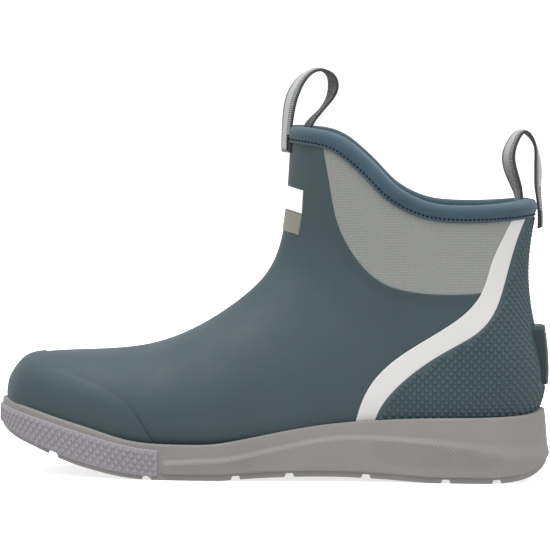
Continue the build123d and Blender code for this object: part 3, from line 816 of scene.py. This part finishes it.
def buildCollarStitches():
    fine = np.linspace(0, 2 * pi, 1400)
    point, out, up, round_ = collarFrame(fine)
    pieces = []
    for outward, side in ((1.55, 1), (-7.15, -1)):
        line = point + out * outward + up * -6.75
        length = np.r_[0, np.cumsum(np.linalg.norm(np.diff(line, axis=0), axis=1))]
        count = int(length[-1] / binding["stitchPitch"])
        at = (np.arange(count) + 0.5) * length[-1] / count
        beside = np.abs(np.interp(at, length, line[:, 1])) > binding["strapHalf"] + 0.7
        at = at[beside | (side < 0)]
        pick = [np.stack([np.interp(at, length, v[:, k]) for k in range(3)], -1) for v in (line, round_, up, out)]
        pieces.append(capsules(*pick[:3], pick[3] * side, binding["stitchLength"], binding["stitchWidth"], 0.5))
    points = np.concatenate([p for p, _ in pieces])
    faces = np.concatenate([pieces[0][1], pieces[1][1] + len(pieces[0][0])])
    makePiece("collar_stitches", points, faces, thread, ("collar_stitching",), crease=60)


buildBinding()
buildCollarStitches()
print("collar made")

# sole
sole = {
    "outline": [(-140.0, 5.5), (-136.0, -12.0), (-127.0, -26.0), (-110.0, -37.6), (-88.0, -45.2), (-62.0, -48.6),
                (-36.0, -47.8), (-10.0, -43.8), (20.0, -39.4), (55.0, -37.6), (90.0, -37.4), (115.0, -33.4),
                (130.5, -21.5), (138.6, 0.0), (130.5, 21.5), (115.0, 32.8), (90.0, 36.2), (55.0, 35.0),
                (20.0, 34.6), (-10.0, 37.0), (-36.0, 42.6), (-62.0, 47.0), (-88.0, 47.6), (-110.0, 43.6),
                (-127.0, 35.0), (-136.0, 22.5)],
    "toeRise": [(-150.0, 35.0), (-137.5, 21.5), (-125.0, 15.4), (-110.0, 9.4), (-92.0, 4.2), (-77.0, 1.2),
                (-64.0, 0.0)],
    "waist": [(-28.0, 0.0), (-12.0, 1.3), (10.0, 2.3), (32.0, 2.5), (55.0, 1.6), (78.0, 0.0)],
    "heelBevel": [(111.0, 0.0), (122.0, 1.1), (131.0, 3.6), (137.0, 8.2), (146.0, 24.0)],
    "ridge": [(-90.0, 8.2), (-57.4, 9.9), (-38.5, 11.0), (-25.7, 11.9), (-5.4, 16.3), (7.4, 19.1), (20.1, 21.8),
              (35.4, 23.6), (53.3, 23.6), (73.7, 22.4), (96.8, 20.0), (117.3, 17.4), (132.6, 17.0), (160.0, 17.0)],
    "bumperTop": [(-160.0, 41.0), (-141.0, 34.6), (-124.0, 30.0), (-105.0, 24.8), (-85.0, 19.4), (-69.0, 16.2),
                  (-40.0, 15.0)],
    "bumperEnd": -59.3,
    "bumperOut": 0.7,
    "bumperLift": 2.0,
    "outsole": 3.0,
    "outsoleInset": 0.35,
    "bulge": 1.4,
    "lean": 1.4,
    "grooves": (-112.7, -65.0, -20.2, 7.0, 45.8, 86.3, 112.2),
    "grooveHalf": 2.4,
    "grooveDepth": 1.9,
}
toeRise, waistLine, heelBevel = (heightLine(sole[k]) for k in ("toeRise", "waist", "heelBevel"))
ridgeHeight, bumperHeight = heightLine(sole["ridge"]), heightLine(sole["bumperTop"])


def groundAt(x):
    # underside of the sole: rise to the toe, flat ball, low waist, flat heel, bevel
    pieces = [toeRise(x), 0 * x, waistLine(x), 0 * x]
    return np.select([x < -64.0, x < -28.0, x < 78.0, x < 111.0], pieces, heelBevel(x))


outlinePoints, outlineRun = smoothPath(sole["outline"], 2401, closed=True)
outlineWay = np.gradient(outlinePoints, axis=0)
outlineWay[0] = outlineWay[-1] = outlinePoints[1] - outlinePoints[-2]
outlineNormal = np.stack([outlineWay[:, 1], -outlineWay[:, 0]], -1) / np.linalg.norm(outlineWay, axis=1)[:, None]


def outlineAt(run, grow=0.0):
    # the sole outline from above at a running length, moved out by grow along its own normal
    run = np.mod(run, outlineRun[-1])
    x, y, nx, ny = (np.interp(run, outlineRun, v) for v in (*outlinePoints.T, *outlineNormal.T))
    return x + grow * nx, y + grow * ny, nx, ny


def wallOut(x, z):
    # how far the sole wall stands off the outline at a height: bulging under the ridge, leaning in above it
    ridge, top = ridgeHeight(x), featherHeight(x)
    behind = smoothStep(sole["bumperEnd"] + 0.5, sole["bumperEnd"] + 4.0, x)
    above = np.clip((z - ridge) / np.maximum(top - ridge, 1.0), 0, 1)
    heel = smoothStep(60.0, 135.0, x)
    under = 1 - smoothStep(-2.2 - 3.5 * heel, 0.6 + 2.5 * heel, z - ridge)
    return sole["bulge"] * under * behind - (0.5 + sole["lean"] * heel) * above**1.3 * behind


def buildMidsole():
    run = np.linspace(0, outlineRun[-1], 721)[None, :]
    x0 = outlineAt(run)[0]
    low, high = groundAt(x0) + sole["outsole"], featherHeight(x0)
    t = np.linspace(0, 1, 46)[:, None]
    z = low + (high - low) * t
    out = wallOut(x0, z)
    corner = 1.0   # radius of the top edge
    out = out - corner * (1 - np.sqrt(1 - np.clip((z - high + corner) / corner, 0, 1) ** 2))
    out = out - 0.7 * np.clip(1 - (z - low) / 0.8, 0, 1) ** 2
    extra = [(-4.5, high - 0.1), (-6.0, high - 3.0), (-14.0, low + 0.8), (-14.0, low - 0.1), (-3.0, low - 0.1)]
    out = np.concatenate([out, *(np.full_like(x0, o) for o, _ in extra), out[:1]])
    z = np.concatenate([z, *(height for _, height in extra), z[:1]])
    x, y, _, _ = outlineAt(run, out)
    grid = np.stack([x, y, z], -1)
    makePiece("midsole_cup", grid, gridFaces(*grid.shape[:2]), midsoleFoam, ("midsole",))


def buildOutsole():
    # a sheet over the outline: rows along x, columns from one side to the other
    inset = sole["outsoleInset"]
    run = np.linspace(0, outlineRun[-1], 4001)
    ox, oy, _, _ = outlineAt(run, -inset)
    tip, heel = ox.argmin(), ox.argmax()
    sides = []
    for pick in (slice(0, heel + 1), slice(heel, None)):
        order = np.argsort(ox[pick])
        sides.append((ox[pick][order], oy[pick][order]))
    turn = np.linspace(0, pi, 620)
    x = (ox.min() + ox.max()) / 2 - (ox.max() - ox.min()) / 2 * np.cos(turn)
    x = 0.25 * x + 0.75 * np.linspace(ox.min(), ox.max(), 620)
    x[0], x[-1] = ox.min(), ox.max()
    low, high = (np.interp(x, *side) for side in sides)
    low[0] = high[0] = oy[tip]
    low[-1] = high[-1] = oy[heel]
    u = edgeSpread(56, 1.5)
    y = low[:, None] * (1 - u) + high[:, None] * u
    grid = np.broadcast_to(x[:, None], y.shape)
    edge = np.minimum(y - low[:, None], high[:, None] - y)
    cut = np.zeros_like(y)
    for place in sole["grooves"]:
        cut = np.maximum(cut, smoothStep(sole["grooveHalf"], sole["grooveHalf"] - 0.7, np.abs(grid - place)))
    wave = grid + 1.6 * np.sin(y * 2 * pi / 9.0)
    sipe = smoothStep(0.42, 0.72, np.cos(wave * 2 * pi / 6.2)) * smoothStep(3.5, 5.0, edge)
    depth = np.maximum(sole["grooveDepth"] * cut, 1.2 * sipe)
    bottom = groundAt(grid) + depth + 0.5 * (1 - roundedEdge(edge, 0.8))
    top = groundAt(grid) + sole["outsole"] + 0.2
    points = np.concatenate([np.stack([grid, y, bottom], -1).reshape(-1, 3),
                             np.stack([grid, y, top], -1).reshape(-1, 3)])
    makePiece("outsole_tread", points, shellFaces(*y.shape), outsoleRubber, ("outsole",))


def bumperRun(count):
    # running lengths round the toe between the bumper's two ends
    half = outlineRun[-1] / 2
    fine = np.linspace(-half, half, 4001)
    inside = fine[outlineAt(fine)[0] < sole["bumperEnd"]]
    return np.linspace(inside[0], inside[-1], count)


def buildBumper():
    run = bumperRun(420)[None, :]
    x0 = outlineAt(run)[0]
    low = groundAt(x0) + sole["bumperLift"]
    high = bumperHeight(x0)
    rows = edgeSpread(34, 1.6)[:, None]
    z = low + (high - low) * rows
    ends = np.minimum(run - run[0, 0], run[0, -1] - run)
    edge = np.minimum(np.minimum(z - low, high - z), ends)
    out = sole["bumperOut"] * roundedEdge(edge, 1.0) - 0.3 * (edge <= 0)
    ox, oy, _, _ = outlineAt(run, out)
    ix, iy, _, _ = outlineAt(run + 0 * z, -0.8)
    points = np.concatenate([np.stack([ox, oy, z], -1).reshape(-1, 3), np.stack([ix, iy, z], -1).reshape(-1, 3)])
    makePiece("toe_bumper_band", points, shellFaces(*z.shape), bumperRubber, ("toe_bumper",))


buildMidsole()
buildOutsole()
buildBumper()
print("sole made")

# small moulded studs
studs = {
    "heel": {"pitch": 4.1, "row": 2.1, "wide": 1.95, "tall": 2.0, "height": 0.65, "centre": 95.0, "radius": 34.0},
    "bumper": {"pitch": 3.8, "row": 2.5, "wide": 1.9, "tall": 2.5, "height": 0.7},
    "midsole": {"pitch": 2.2, "row": 1.1, "wide": 1.0, "tall": 1.0, "height": 0.2},
}


def studMesh(centre, across, up, out, wide, tall, height, corners=8, sink=0.35):
    # flat-topped diamonds: three shrinking rings over a sunk base, closed by a point above and one below
    ring = np.arange(corners + 1) * 2 * pi / corners
    shape = 1 / (np.abs(np.cos(ring)) ** 1.25 + np.abs(np.sin(ring)) ** 1.25) ** 0.8
    level = np.array([-sink, -sink, 0.72 * height, height, height])
    size = np.array([0.0, 1.0, 0.55, 0.22, 0.0])
    wide, tall = (np.broadcast_to(v, len(centre)) for v in (wide, tall))
    p = (centre[:, None, None]
         + across[:, None, None] * wide[:, None, None, None] * (size[:, None] * np.cos(ring) * shape)[None, ..., None]
         + up[:, None, None] * tall[:, None, None, None] * (size[:, None] * np.sin(ring) * shape)[None, ..., None]
         + out[:, None, None] * np.broadcast_to(level[:, None], (5, corners + 1))[None, ..., None])
    faces = gridFaces(5, corners + 1)
    return p.reshape(-1, 3), (faces[None] + 5 * (corners + 1) * np.arange(len(centre))[:, None, None]).reshape(-1, 4)


def staggered(first, final, low, high, pitch, row):
    # even rows, every other one moved by half a pitch
    j = np.arange(int((high - low) / row) + 1)
    i = np.arange(int((final - first) / pitch) + 2)
    gridI, gridJ = np.meshgrid(i, j)
    return (first + (gridI - 0.5 * (gridJ % 2)) * pitch).ravel(), (low + gridJ * row).ravel()


def skinSearch(measure, targets, low, high, grow):
    # the (s, a) where two measures of the skin point equal the targets: nearest point of a coarse grid, then
    # Newton steps with differences
    s, a = (g.ravel() for g in np.meshgrid(np.linspace(low, high, 90), np.linspace(0.05, 2 * pi - 0.05, 150)))
    known = measure(skin(s, a, grow))
    near = ((known[None, :, 0] - targets[:, None, 0]) ** 2 + (known[None, :, 1] - targets[:, None, 1]) ** 2).argmin(1)
    s, a = s[near], a[near]
    for _ in range(6):
        value = measure(skin(s, a, grow))
        ds = (measure(skin(s + 0.01, a, grow)) - value) / 0.01
        da = (measure(skin(s, a + 0.001, grow)) - value) / 0.001
        gap = targets - value
        size = ds[:, 0] * da[:, 1] - ds[:, 1] * da[:, 0]
        size = np.where(np.abs(size) < 1e-6, 1e-6, size)
        s = np.clip(s + np.clip((gap[:, 0] * da[:, 1] - gap[:, 1] * da[:, 0]) / size, -2, 2), low, high)
        a = a + np.clip((ds[:, 0] * gap[:, 1] - ds[:, 1] * gap[:, 0]) / size, -0.1, 0.1)
    close = np.abs(measure(skin(s, a, grow)) - targets).max(axis=1) < 0.2
    return s[close], a[close]


def skinDirections(s, a, grow=0.0):
    # outward, upward and sideways unit vectors of the skin
    rise = skin(s + 0.02, a, grow) - skin(s - 0.02, a, grow)
    turn = skin(s, a + 0.005, grow) - skin(s, a - 0.005, grow)
    out = np.cross(turn, rise)
    out /= np.linalg.norm(out, axis=-1)[..., None]
    out *= np.sign(np.einsum("...i,...i->...", out, skin(s, a, 1.0) - skin(s, a, 0.0)))[..., None]
    up = np.array([0.0, 0.0, 1.0]) - out * out[..., 2:3]
    up /= np.linalg.norm(up, axis=-1)[..., None]
    return out, up, np.cross(up, out)


def roundHeel(p):
    # distance round the heel, on straight flanks and a half circle, and height
    v = studs["heel"]
    quarter = v["radius"] * pi / 2
    turn = np.arctan2(np.abs(p[..., 1]), np.maximum(p[..., 0] - v["centre"], 1e-6)) * v["radius"]
    way = np.where(p[..., 0] > v["centre"], turn, quarter + v["centre"] - p[..., 0])
    return np.stack([np.sign(p[..., 1]) * way, p[..., 2]], -1)


def buildHeelStuds():
    # staggered rows at equal steps round the heel and in height, left out near the edges and the kick plate
    v = studs["heel"]
    reach = v["radius"] * pi / 2 + 50
    targets = np.stack(staggered(-reach, reach, 28.0, 142.0, v["pitch"], v["row"]), -1)
    s, a = skinSearch(roundHeel, targets, atStation(10.1), atStation(17.5), overlay["thickness"])
    p = skin(s, a, overlay["thickness"])
    room = 2.2
    inside = ((p[:, 0] - stripeBackX(p[:, 2]) > room) & (p[:, 2] > featherHeight(p[:, 0]) - 1.0)
              & (p[:, 2] < bindingLow(p[:, 0]) - 1.4))
    underPlate = (np.abs(p[:, 1]) < 14.8) & (p[:, 2] > 47.6) & (p[:, 2] < 80.0) & (p[:, 0] > 100)
    keep = inside & ~underPlate
    out, up, across = skinDirections(s[keep], a[keep], overlay["thickness"])
    points, faces = studMesh(p[keep], across, up, out, v["wide"], v["tall"], v["height"])
    makePiece("heel_cover_studs", points, faces, heelRubber, (), crease=25)
    print("heel studs", int(keep.sum()))


def wallStuds(name, run, z, out, wide, tall, height, material, corners):
    # studs on the sole's wall: the outline at a distance run along it, moved out, at the height z
    x, y, nx, ny = outlineAt(run, out)
    p = np.stack([x, y, z], -1)
    outward = np.stack([nx, ny, 0 * nx], -1)
    up = np.broadcast_to(np.array([0.0, 0.0, 1.0]), outward.shape)
    points, faces = studMesh(p, np.cross(up, outward), up, outward, wide, tall, height, corners)
    makePiece(name, points, faces, material, (), crease=25)
    print(name, len(p))


def buildBumperStuds():
    # staggered rows below the bumper's top line
    v = studs["bumper"]
    run = bumperRun(2)
    r, row = staggered(run[0] + 1.9, run[1] - 1.9, 0.0, 22.0, v["pitch"], v["row"])
    x = outlineAt(r)[0]
    z = bumperHeight(x) - 2.3 - row
    keep = (z > groundAt(x) + sole["bumperLift"] + 0.9) & (r < run[1] - 1.5) & (r > run[0] + 1.5)
    wallStuds("toe_bumper_studs", r[keep], z[keep], sole["bumperOut"], v["wide"], v["tall"], v["height"],
              bumperRubber, 4)


def buildMidsoleStuds():
    # rows of fine diamonds on the bulge, shrinking away where the texture fades out
    v = studs["midsole"]
    r, row = staggered(0.0, outlineRun[-1] - v["pitch"], 0.0, 20.0, v["pitch"], v["row"])
    x = outlineAt(r)[0]
    z = ridgeHeight(x) - 2.6 - row
    depth = ridgeHeight(x) - groundAt(x) - sole["outsole"]
    front = smoothStep(-58.0, -50.0, x) * (1 - smoothStep(-22.0, -6.0, x))
    rear = smoothStep(44.0, 66.0, x) * (1 - smoothStep(104.0, 118.0, x))
    fade = np.maximum(front, rear) * (1 - smoothStep(0.45, 0.85, (row + 2.6) / np.maximum(depth, 1)))
    keep = (fade > 0.12) & (z > groundAt(x) + sole["outsole"] + 1.0)
    size = np.sqrt(fade[keep])
    wallStuds("midsole_studs", r[keep], z[keep], wallOut(x, z)[keep], v["wide"] * size, v["tall"] * size,
              v["height"], midsoleFoam, 4)


buildHeelStuds()
buildBumperStuds()
buildMidsoleStuds()
print("studs made")

# pull loops
loops = {
    "front": {
        "axis": (7.35, 174.45),
        # along x and up from the fold axis, from the sewn outer end round to the sewn inner end
        "path": [(-4.9, -9.6), (-5.0, -4.0), (-4.8, 2.5), (-4.2, 10.0), (-3.0, 17.0), (-0.6, 23.2), (4.0, 29.4),
                 (11.4, 32.8), (18.0, 29.8), (19.4, 23.5), (16.8, 16.6), (11.4, 10.3), (6.4, 4.0), (5.6, -3.0),
                 (5.6, -8.5)],
        # share of the path, turn of the loop about the upright, further turn of the strap's face
        "turn": [(0.0, 14, 6), (0.14, 14, 8), (0.35, 16, 8), (0.5, 18, -6), (0.63, 18, 4), (0.76, 18, -12),
                 (0.88, 12, 4), (1.0, 0, 0)],
        "body": "front_loop",
        "tape": (0.02, 0.62),
        "tapeAside": 1.0,
    },
    "rear": {
        "axis": (126.95, 138.15),
        "path": [(5.7, -9.6), (5.7, -4.0), (5.0, 4.0), (4.2, 11.0), (4.1, 18.0), (3.4, 28.0), (0.8, 35.6),
                 (-4.3, 39.7), (-9.8, 33.9), (-11.8, 26.0), (-10.4, 19.5), (-7.4, 12.0), (-5.4, 4.0), (-5.6, -3.0),
                 (-5.6, -8.5)],
        "turn": [(0.0, 0, -10), (0.15, 2, -12), (0.3, 10, -24), (0.45, 16, -10), (0.6, 18, 6), (0.75, 18, 10),
                 (0.88, 10, 2), (1.0, 0, -6)],
        "body": "rear_loop",
        "tape": (0.2, 0.9),
        "tapeAside": 0.8,
    },
    "width": 12.0,
    "thickness": 1.4,
    "tapeWidth": 5.6,
    "tackAside": 4.0,
    "ribPitch": 1.15,
    "ribDepth": 0.1,
}


def loopFrame(which, count):
    # the strap's middle line in space with its direction, its width direction and its outer face's direction
    v = loops[which]
    path, run = smoothPath(v["path"], count)
    share = run / run[-1]
    knots = np.array(v["turn"], float)
    turn, face = (np.radians(splineThrough(knots[:, 0], knots[:, k])(share)) for k in (1, 2))
    centre = np.stack([v["axis"][0] + path[:, 0] * np.cos(turn), path[:, 0] * np.sin(turn),
                       v["axis"][1] + path[:, 1]], -1)
    way = np.gradient(centre, axis=0)
    way /= np.linalg.norm(way, axis=1)[:, None]
    wide = np.stack([-np.sin(turn + face), np.cos(turn + face), 0 * turn], -1)
    wide -= way * np.einsum("ij,ij->i", wide, way)[:, None]
    wide /= np.linalg.norm(wide, axis=1)[:, None]
    out = np.cross(way, wide)
    away = centre - np.array([v["axis"][0], 0.0, v["axis"][1] + 16.0])
    if np.einsum("ij,ij->i", out, away).sum() < 0:
        out = -out
    return centre, way, wide, out, run


def strapMesh(centre, wide, out, run, width, thickness, ribs, lift=0.0):
    # a flat bar with round edges carried along the line, cross ribs raised on both faces, ends closed
    around = 33
    angle = np.linspace(0, 2 * pi, around)
    square = 0.22
    w = np.sign(np.cos(angle)) * np.abs(np.cos(angle)) ** square * width / 2
    h = np.sign(np.sin(angle)) * np.abs(np.sin(angle)) ** square * thickness / 2
    wave = 1 + ribs / (thickness / 2) * 0.5 * (1 + np.cos(run * 2 * pi / loops["ribPitch"]))
    close = np.clip(np.minimum(run, run[-1] - run) / 0.6, 0, 1)
    close = np.sqrt(1 - (1 - close) ** 2)
    p = (centre[:, None] + lift * out[:, None]
         + wide[:, None] * (w[None, :] * (0.94 + 0.06 * close[:, None]))[..., None]
         + out[:, None] * (h[None, :] * (wave * close)[:, None])[..., None])
    cap = [np.broadcast_to(centre[k] + lift * out[k], (1, around, 3)) for k in (0, -1)]
    p = np.concatenate([cap[0], p, cap[1]])
    v = np.r_[run[0], run, run[-1]]
    round_ = np.where(angle <= pi, width / 2 - w, 1.5 * width + w)   # 0 to width on the outer face, then the inner
    uv = np.stack(np.broadcast_arrays(round_[None, :] + 0 * v[:, None], v[:, None]), -1)
    return p, gridFaces(*p.shape[:2]), uv


def buildLoop(which):
    v = loops[which]
    centre, way, wide, out, run = loopFrame(which, 520)
    p, faces, uv = strapMesh(centre, wide, out, run, loops["width"], loops["thickness"], loops["ribDepth"])
    strap = makePiece(which + "_loop_strap", p, faces, webbing,
                      [which + "_pull_loop", which + "_loop_outer_end", which + "_loop_inner_end"], body=None, uv=uv)
    first, final = (int(share * len(run)) for share in v["tape"])
    part = slice(first, final)
    lift = loops["thickness"] / 2 + loops["ribDepth"]
    aside = centre[part] + v["tapeAside"] * wide[part]
    q, tapeFaces, tapeUv = strapMesh(aside, wide[part], out[part], run[part] - run[first],
                                     loops["tapeWidth"], 0.3, 0.0, lift)
    band = makePiece(which + "_loop_tape_band", q, tapeFaces, tape, [which + "_loop_tape"],
                     body=None, uv=tapeUv)
    for piece in (strap, band):
        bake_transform(piece)
    # the bar tack: a close zigzag across the outer sewn end
    height = np.linspace(0, 1, 13)
    zigzag = np.where(np.arange(13) % 2 == 0, -1, 1) * 1.5 - loops["tackAside"]
    at = np.interp(1.0 + height * 8.2, run, np.arange(len(run)))
    pick = [np.stack([np.interp(at, np.arange(len(run)), u[:, k]) for k in range(3)], -1)
            for u in (centre, wide, out, way)]
    knot = pick[0] + pick[1] * zigzag[:, None] + pick[2] * (loops["thickness"] / 2 + 0.12)
    middle, leg = (knot[1:] + knot[:-1]) / 2, knot[1:] - knot[:-1]
    size = np.linalg.norm(leg, axis=1)[:, None]
    along = leg / size
    outward = pick[2][:-1]
    points, stitchFaces = capsules(middle, along, np.cross(along, outward), outward, 1.0, 0.9, 0.4)
    points = middle[:, None] + (points.reshape(len(middle), -1, 3) - middle[:, None])
    stretch = np.einsum("nij,nj->ni", points - middle[:, None], along)[..., None] * along[:, None] * (size[:, None] - 1)
    makePiece(which + "_loop_bartack_stitches", points + stretch, stitchFaces, thread,
              [which + "_loop_bartack"], crease=60)


for which in ("front", "rear"):
    buildLoop(which)
print("pull loops made")

# labels and kick plate
label = {
    "width": 31.6,
    "bottom": 125.0,
    "split": 136.0,
    "top": 148.2,
    "thickness": 0.6,
    "sink": 0.25,
    "drop": 1.9,
    "taper": 0.14,
    "white": (0.80, 0.80, 0.80),
    "grey": (0.165, 0.162, 0.132),
}
plate = {
    "width": 23.0,
    "low": 49.0,
    "high": 79.2,
    "cells": 61,
    "squareness": 9.0,
    "profile": ([49.0, 51.0, 57.0, 66.0, 75.0, 79.2], [138.4, 138.6, 138.6, 138.0, 136.9, 136.2]),
    "crown": 1.5,
    "edge": 0.7,
    "grooveIn": 2.6,
    "grooveDepth": 0.35,
    "depth": 4.5,
    "backCrown": 2.0,
}


def labelMaterial(name, colour):
    # plain moulded rubber label
    material, tree, shader = startMaterial(name, colour, 0.5)
    uv, _ = uvWaves(tree, 1.0, 1.0)
    mottle(tree, shader, uv, colour, 0.02, 400.0)
    noise = addNode(tree, "ShaderNodeTexNoise", {"Vector": uv, "Scale": 1800.0, "Detail": 2.0})
    addBump(tree, shader, noise.outputs["Fac"], 0.25, 0.1)
    return material


def frontPatch(u, z, grow):
    # a point on the front of the shaft at a distance u across it and a height z, which drops towards the sides
    # because the label lies square to the sloping front
    z = z - label["drop"] * (2 * u / label["width"]) ** 2
    u = u * (1 - label["taper"] * np.clip((label["top"] - z) / 24.0, 0, 1.3))
    def measure(p):
        return np.stack([p[..., 1], p[..., 2]], -1)
    s, a = np.full(u.size, atStation(13.5)), np.where(u.ravel() < 0, 0.4, 2 * pi - 0.4)
    target = np.stack([u.ravel(), z.ravel()], -1)
    for _ in range(12):
        value = measure(skin(s, a, 0.0))
        ds = (measure(skin(s + 0.01, a)) - value) / 0.01
        da = (measure(skin(s, a + 0.001)) - value) / 0.001
        gap = target - value
        size = ds[:, 0] * da[:, 1] - ds[:, 1] * da[:, 0]
        s = s + np.clip((gap[:, 0] * da[:, 1] - gap[:, 1] * da[:, 0]) / size, -8, 8)
        a = a + np.clip((ds[:, 0] * gap[:, 1] - ds[:, 1] * gap[:, 0]) / size, -0.2, 0.2)
    return skin(s, a, grow.ravel()).reshape(*u.shape, 3)


def buildLabels():
    # two flat patches on the front, split at a height, with rounded raised edges
    white = labelMaterial("labelWhite", label["white"])
    grey = labelMaterial("labelGrey", label["grey"])
    for name, low, high, material, slot in (("upper", label["split"], label["top"], white, "label_white"),
                                            ("lower", label["bottom"], label["split"], grey, "label_grey")):
        u, z = np.meshgrid(np.linspace(-label["width"] / 2, label["width"] / 2, 61), np.linspace(low, high, 25))
        edge = np.minimum(np.minimum(z - low, high - z), label["width"] / 2 - np.abs(u))
        outer = frontPatch(u, z, label["thickness"] * roundedEdge(edge, 0.5) - 0.2 * (edge <= 0))
        inner = frontPatch(u, z, np.full_like(u, -label["sink"]))
        uv = np.stack([u, z - low], -1).reshape(-1, 2)
        makePiece("front_label_" + name + "_patch",
                  np.concatenate([outer.reshape(-1, 3), inner.reshape(-1, 3)]), shellFaces(*u.shape),
                  material, ("front_label_" + name,), uv=np.concatenate([uv, uv]))


def buildKickPlate():
    # a pad over a rounded rectangle: square grid pressed into the rounded outline, face raised on round edges
    half, low, high = plate["width"] / 2, plate["low"], plate["high"]
    t = edgeSpread(plate["cells"], 1.3) * 2 - 1
    u, v = np.meshgrid(t, t)
    # a square with its corners drawn in: each point keeps its direction, its size follows a rounded square
    power = plate["squareness"]
    size = np.maximum(np.abs(u), np.abs(v))
    norm = (np.abs(u) ** power + np.abs(v) ** power) ** (1 / power)
    shrink = np.divide(size, norm, out=np.ones_like(size), where=norm > 0)
    y, zz = u * shrink * half, v * shrink
    z = (low + high) / 2 + zz * (high - low) / 2
    edge = (1 - size) * half
    profile = np.interp(z, *plate["profile"])
    x = profile - plate["crown"] * (np.abs(y) / half) ** 2
    x = x - plate["edge"] * (1 - roundedEdge(edge, plate["edge"])) - plate["edge"] * (edge <= 0)
    groove = smoothStep(0.5, 0.0, np.abs(edge - plate["grooveIn"])) * plate["grooveDepth"]
    outer = np.stack([x - groove, y, z], -1)
    inner = np.stack([x - plate["depth"] - plate["backCrown"] * (np.abs(y) / half) ** 2, y, z], -1)
    makePiece("heel_kick_pad", np.concatenate([outer.reshape(-1, 3), inner.reshape(-1, 3)]), shellFaces(*u.shape),
              kickRubber, ("heel_kick_plate",))


buildLabels()
buildKickPlate()
print("labels and kick plate made")

# CAD nodes that stay
kept = {"insole_board": boardFibre, "footbed": footbedFoam, "toe_puff": stiffenerBoard,
        "heel_stiffener": stiffenerBoard}
for name, material in kept.items():
    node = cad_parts[name]
    node.data.materials.clear()
    node.data.materials.append(material)

# floor, light and camera
studio = {
    "floor": 3.0,
    "floorGlow": 0.6,
    "world": 1.18,
    "overheadPower": 30.0,
    "overheadSize": 1.6,
    "overheadPlace": (-0.1, -0.35, 1.5),
    "lens": 513.0,
    "sensor": 36.0,
    "distance": 4.0,
    "elevation": 3.5,
    "roll": 1.05,
    "target": (-1.4, 0.0, 102.1),
}


def lookFrom(place, target):
    return (Vector(target) - Vector(place)).to_track_quat("-Z", "Y").to_euler()


def buildStage():
    # pale floor, even white sky and one large soft lamp
    half = studio["floor"]
    mesh = bpy.data.meshes.new("studio_floor")
    mesh.from_pydata([(-half, -half, 0), (half, -half, 0), (half, half, 0), (-half, half, 0)], [], [(0, 1, 2, 3)])
    material, tree, shader = startMaterial("floorPaint", (0.93, 0.93, 0.93), 0.9, Specular_IOR_Level=0.1)
    mottle(tree, shader, objectPlace(tree), (0.93, 0.93, 0.93), 0.004, 3.0)
    shader.inputs["Emission Color"].default_value = (1, 1, 1, 1)
    shader.inputs["Emission Strength"].default_value = studio["floorGlow"]   # keeps the ground shadow faint
    mesh.materials.append(material)
    floor = bpy.data.objects.new("studio_floor", mesh)
    bpy.context.scene.collection.objects.link(floor)
    floor.visible_diffuse = floor.visible_glossy = False   # the boot is lit by the sky alone
    world = bpy.data.worlds.new("studio")
    world.use_nodes = True
    background = world.node_tree.nodes["Background"]
    background.inputs["Color"].default_value = (1, 1, 1, 1)
    background.inputs["Strength"].default_value = studio["world"]
    bpy.context.scene.world = world
    lamp = bpy.data.lights.new("overhead", "AREA")
    lamp.energy, lamp.size = studio["overheadPower"], studio["overheadSize"]
    lampObject = bpy.data.objects.new("overhead", lamp)
    lampObject.location = studio["overheadPlace"]
    lampObject.rotation_euler = lookFrom(studio["overheadPlace"], (0, 0, 0.08))
    bpy.context.scene.collection.objects.link(lampObject)


def buildCamera():
    # level look along +Y from a little above, with a slight roll
    camera = bpy.data.cameras.new("camera")
    camera.lens, camera.sensor_width = studio["lens"], studio["sensor"]
    camera.dof.use_dof = False
    cameraObject = bpy.data.objects.new("camera", camera)
    e = math.radians(studio["elevation"])
    target = np.array(studio["target"]) * mm
    cameraObject.location = target + studio["distance"] * np.array([0, -math.cos(e), math.sin(e)])
    turn = lookFrom(cameraObject.location, target).to_matrix()
    cameraObject.rotation_euler = (turn @ Matrix.Rotation(math.radians(studio["roll"]), 3, "Z")).to_euler()
    bpy.context.scene.collection.objects.link(cameraObject)
    bpy.context.scene.camera = cameraObject


buildStage()
buildCamera()
bpy.context.scene.view_settings.view_transform = "Standard"
print("stage ready")
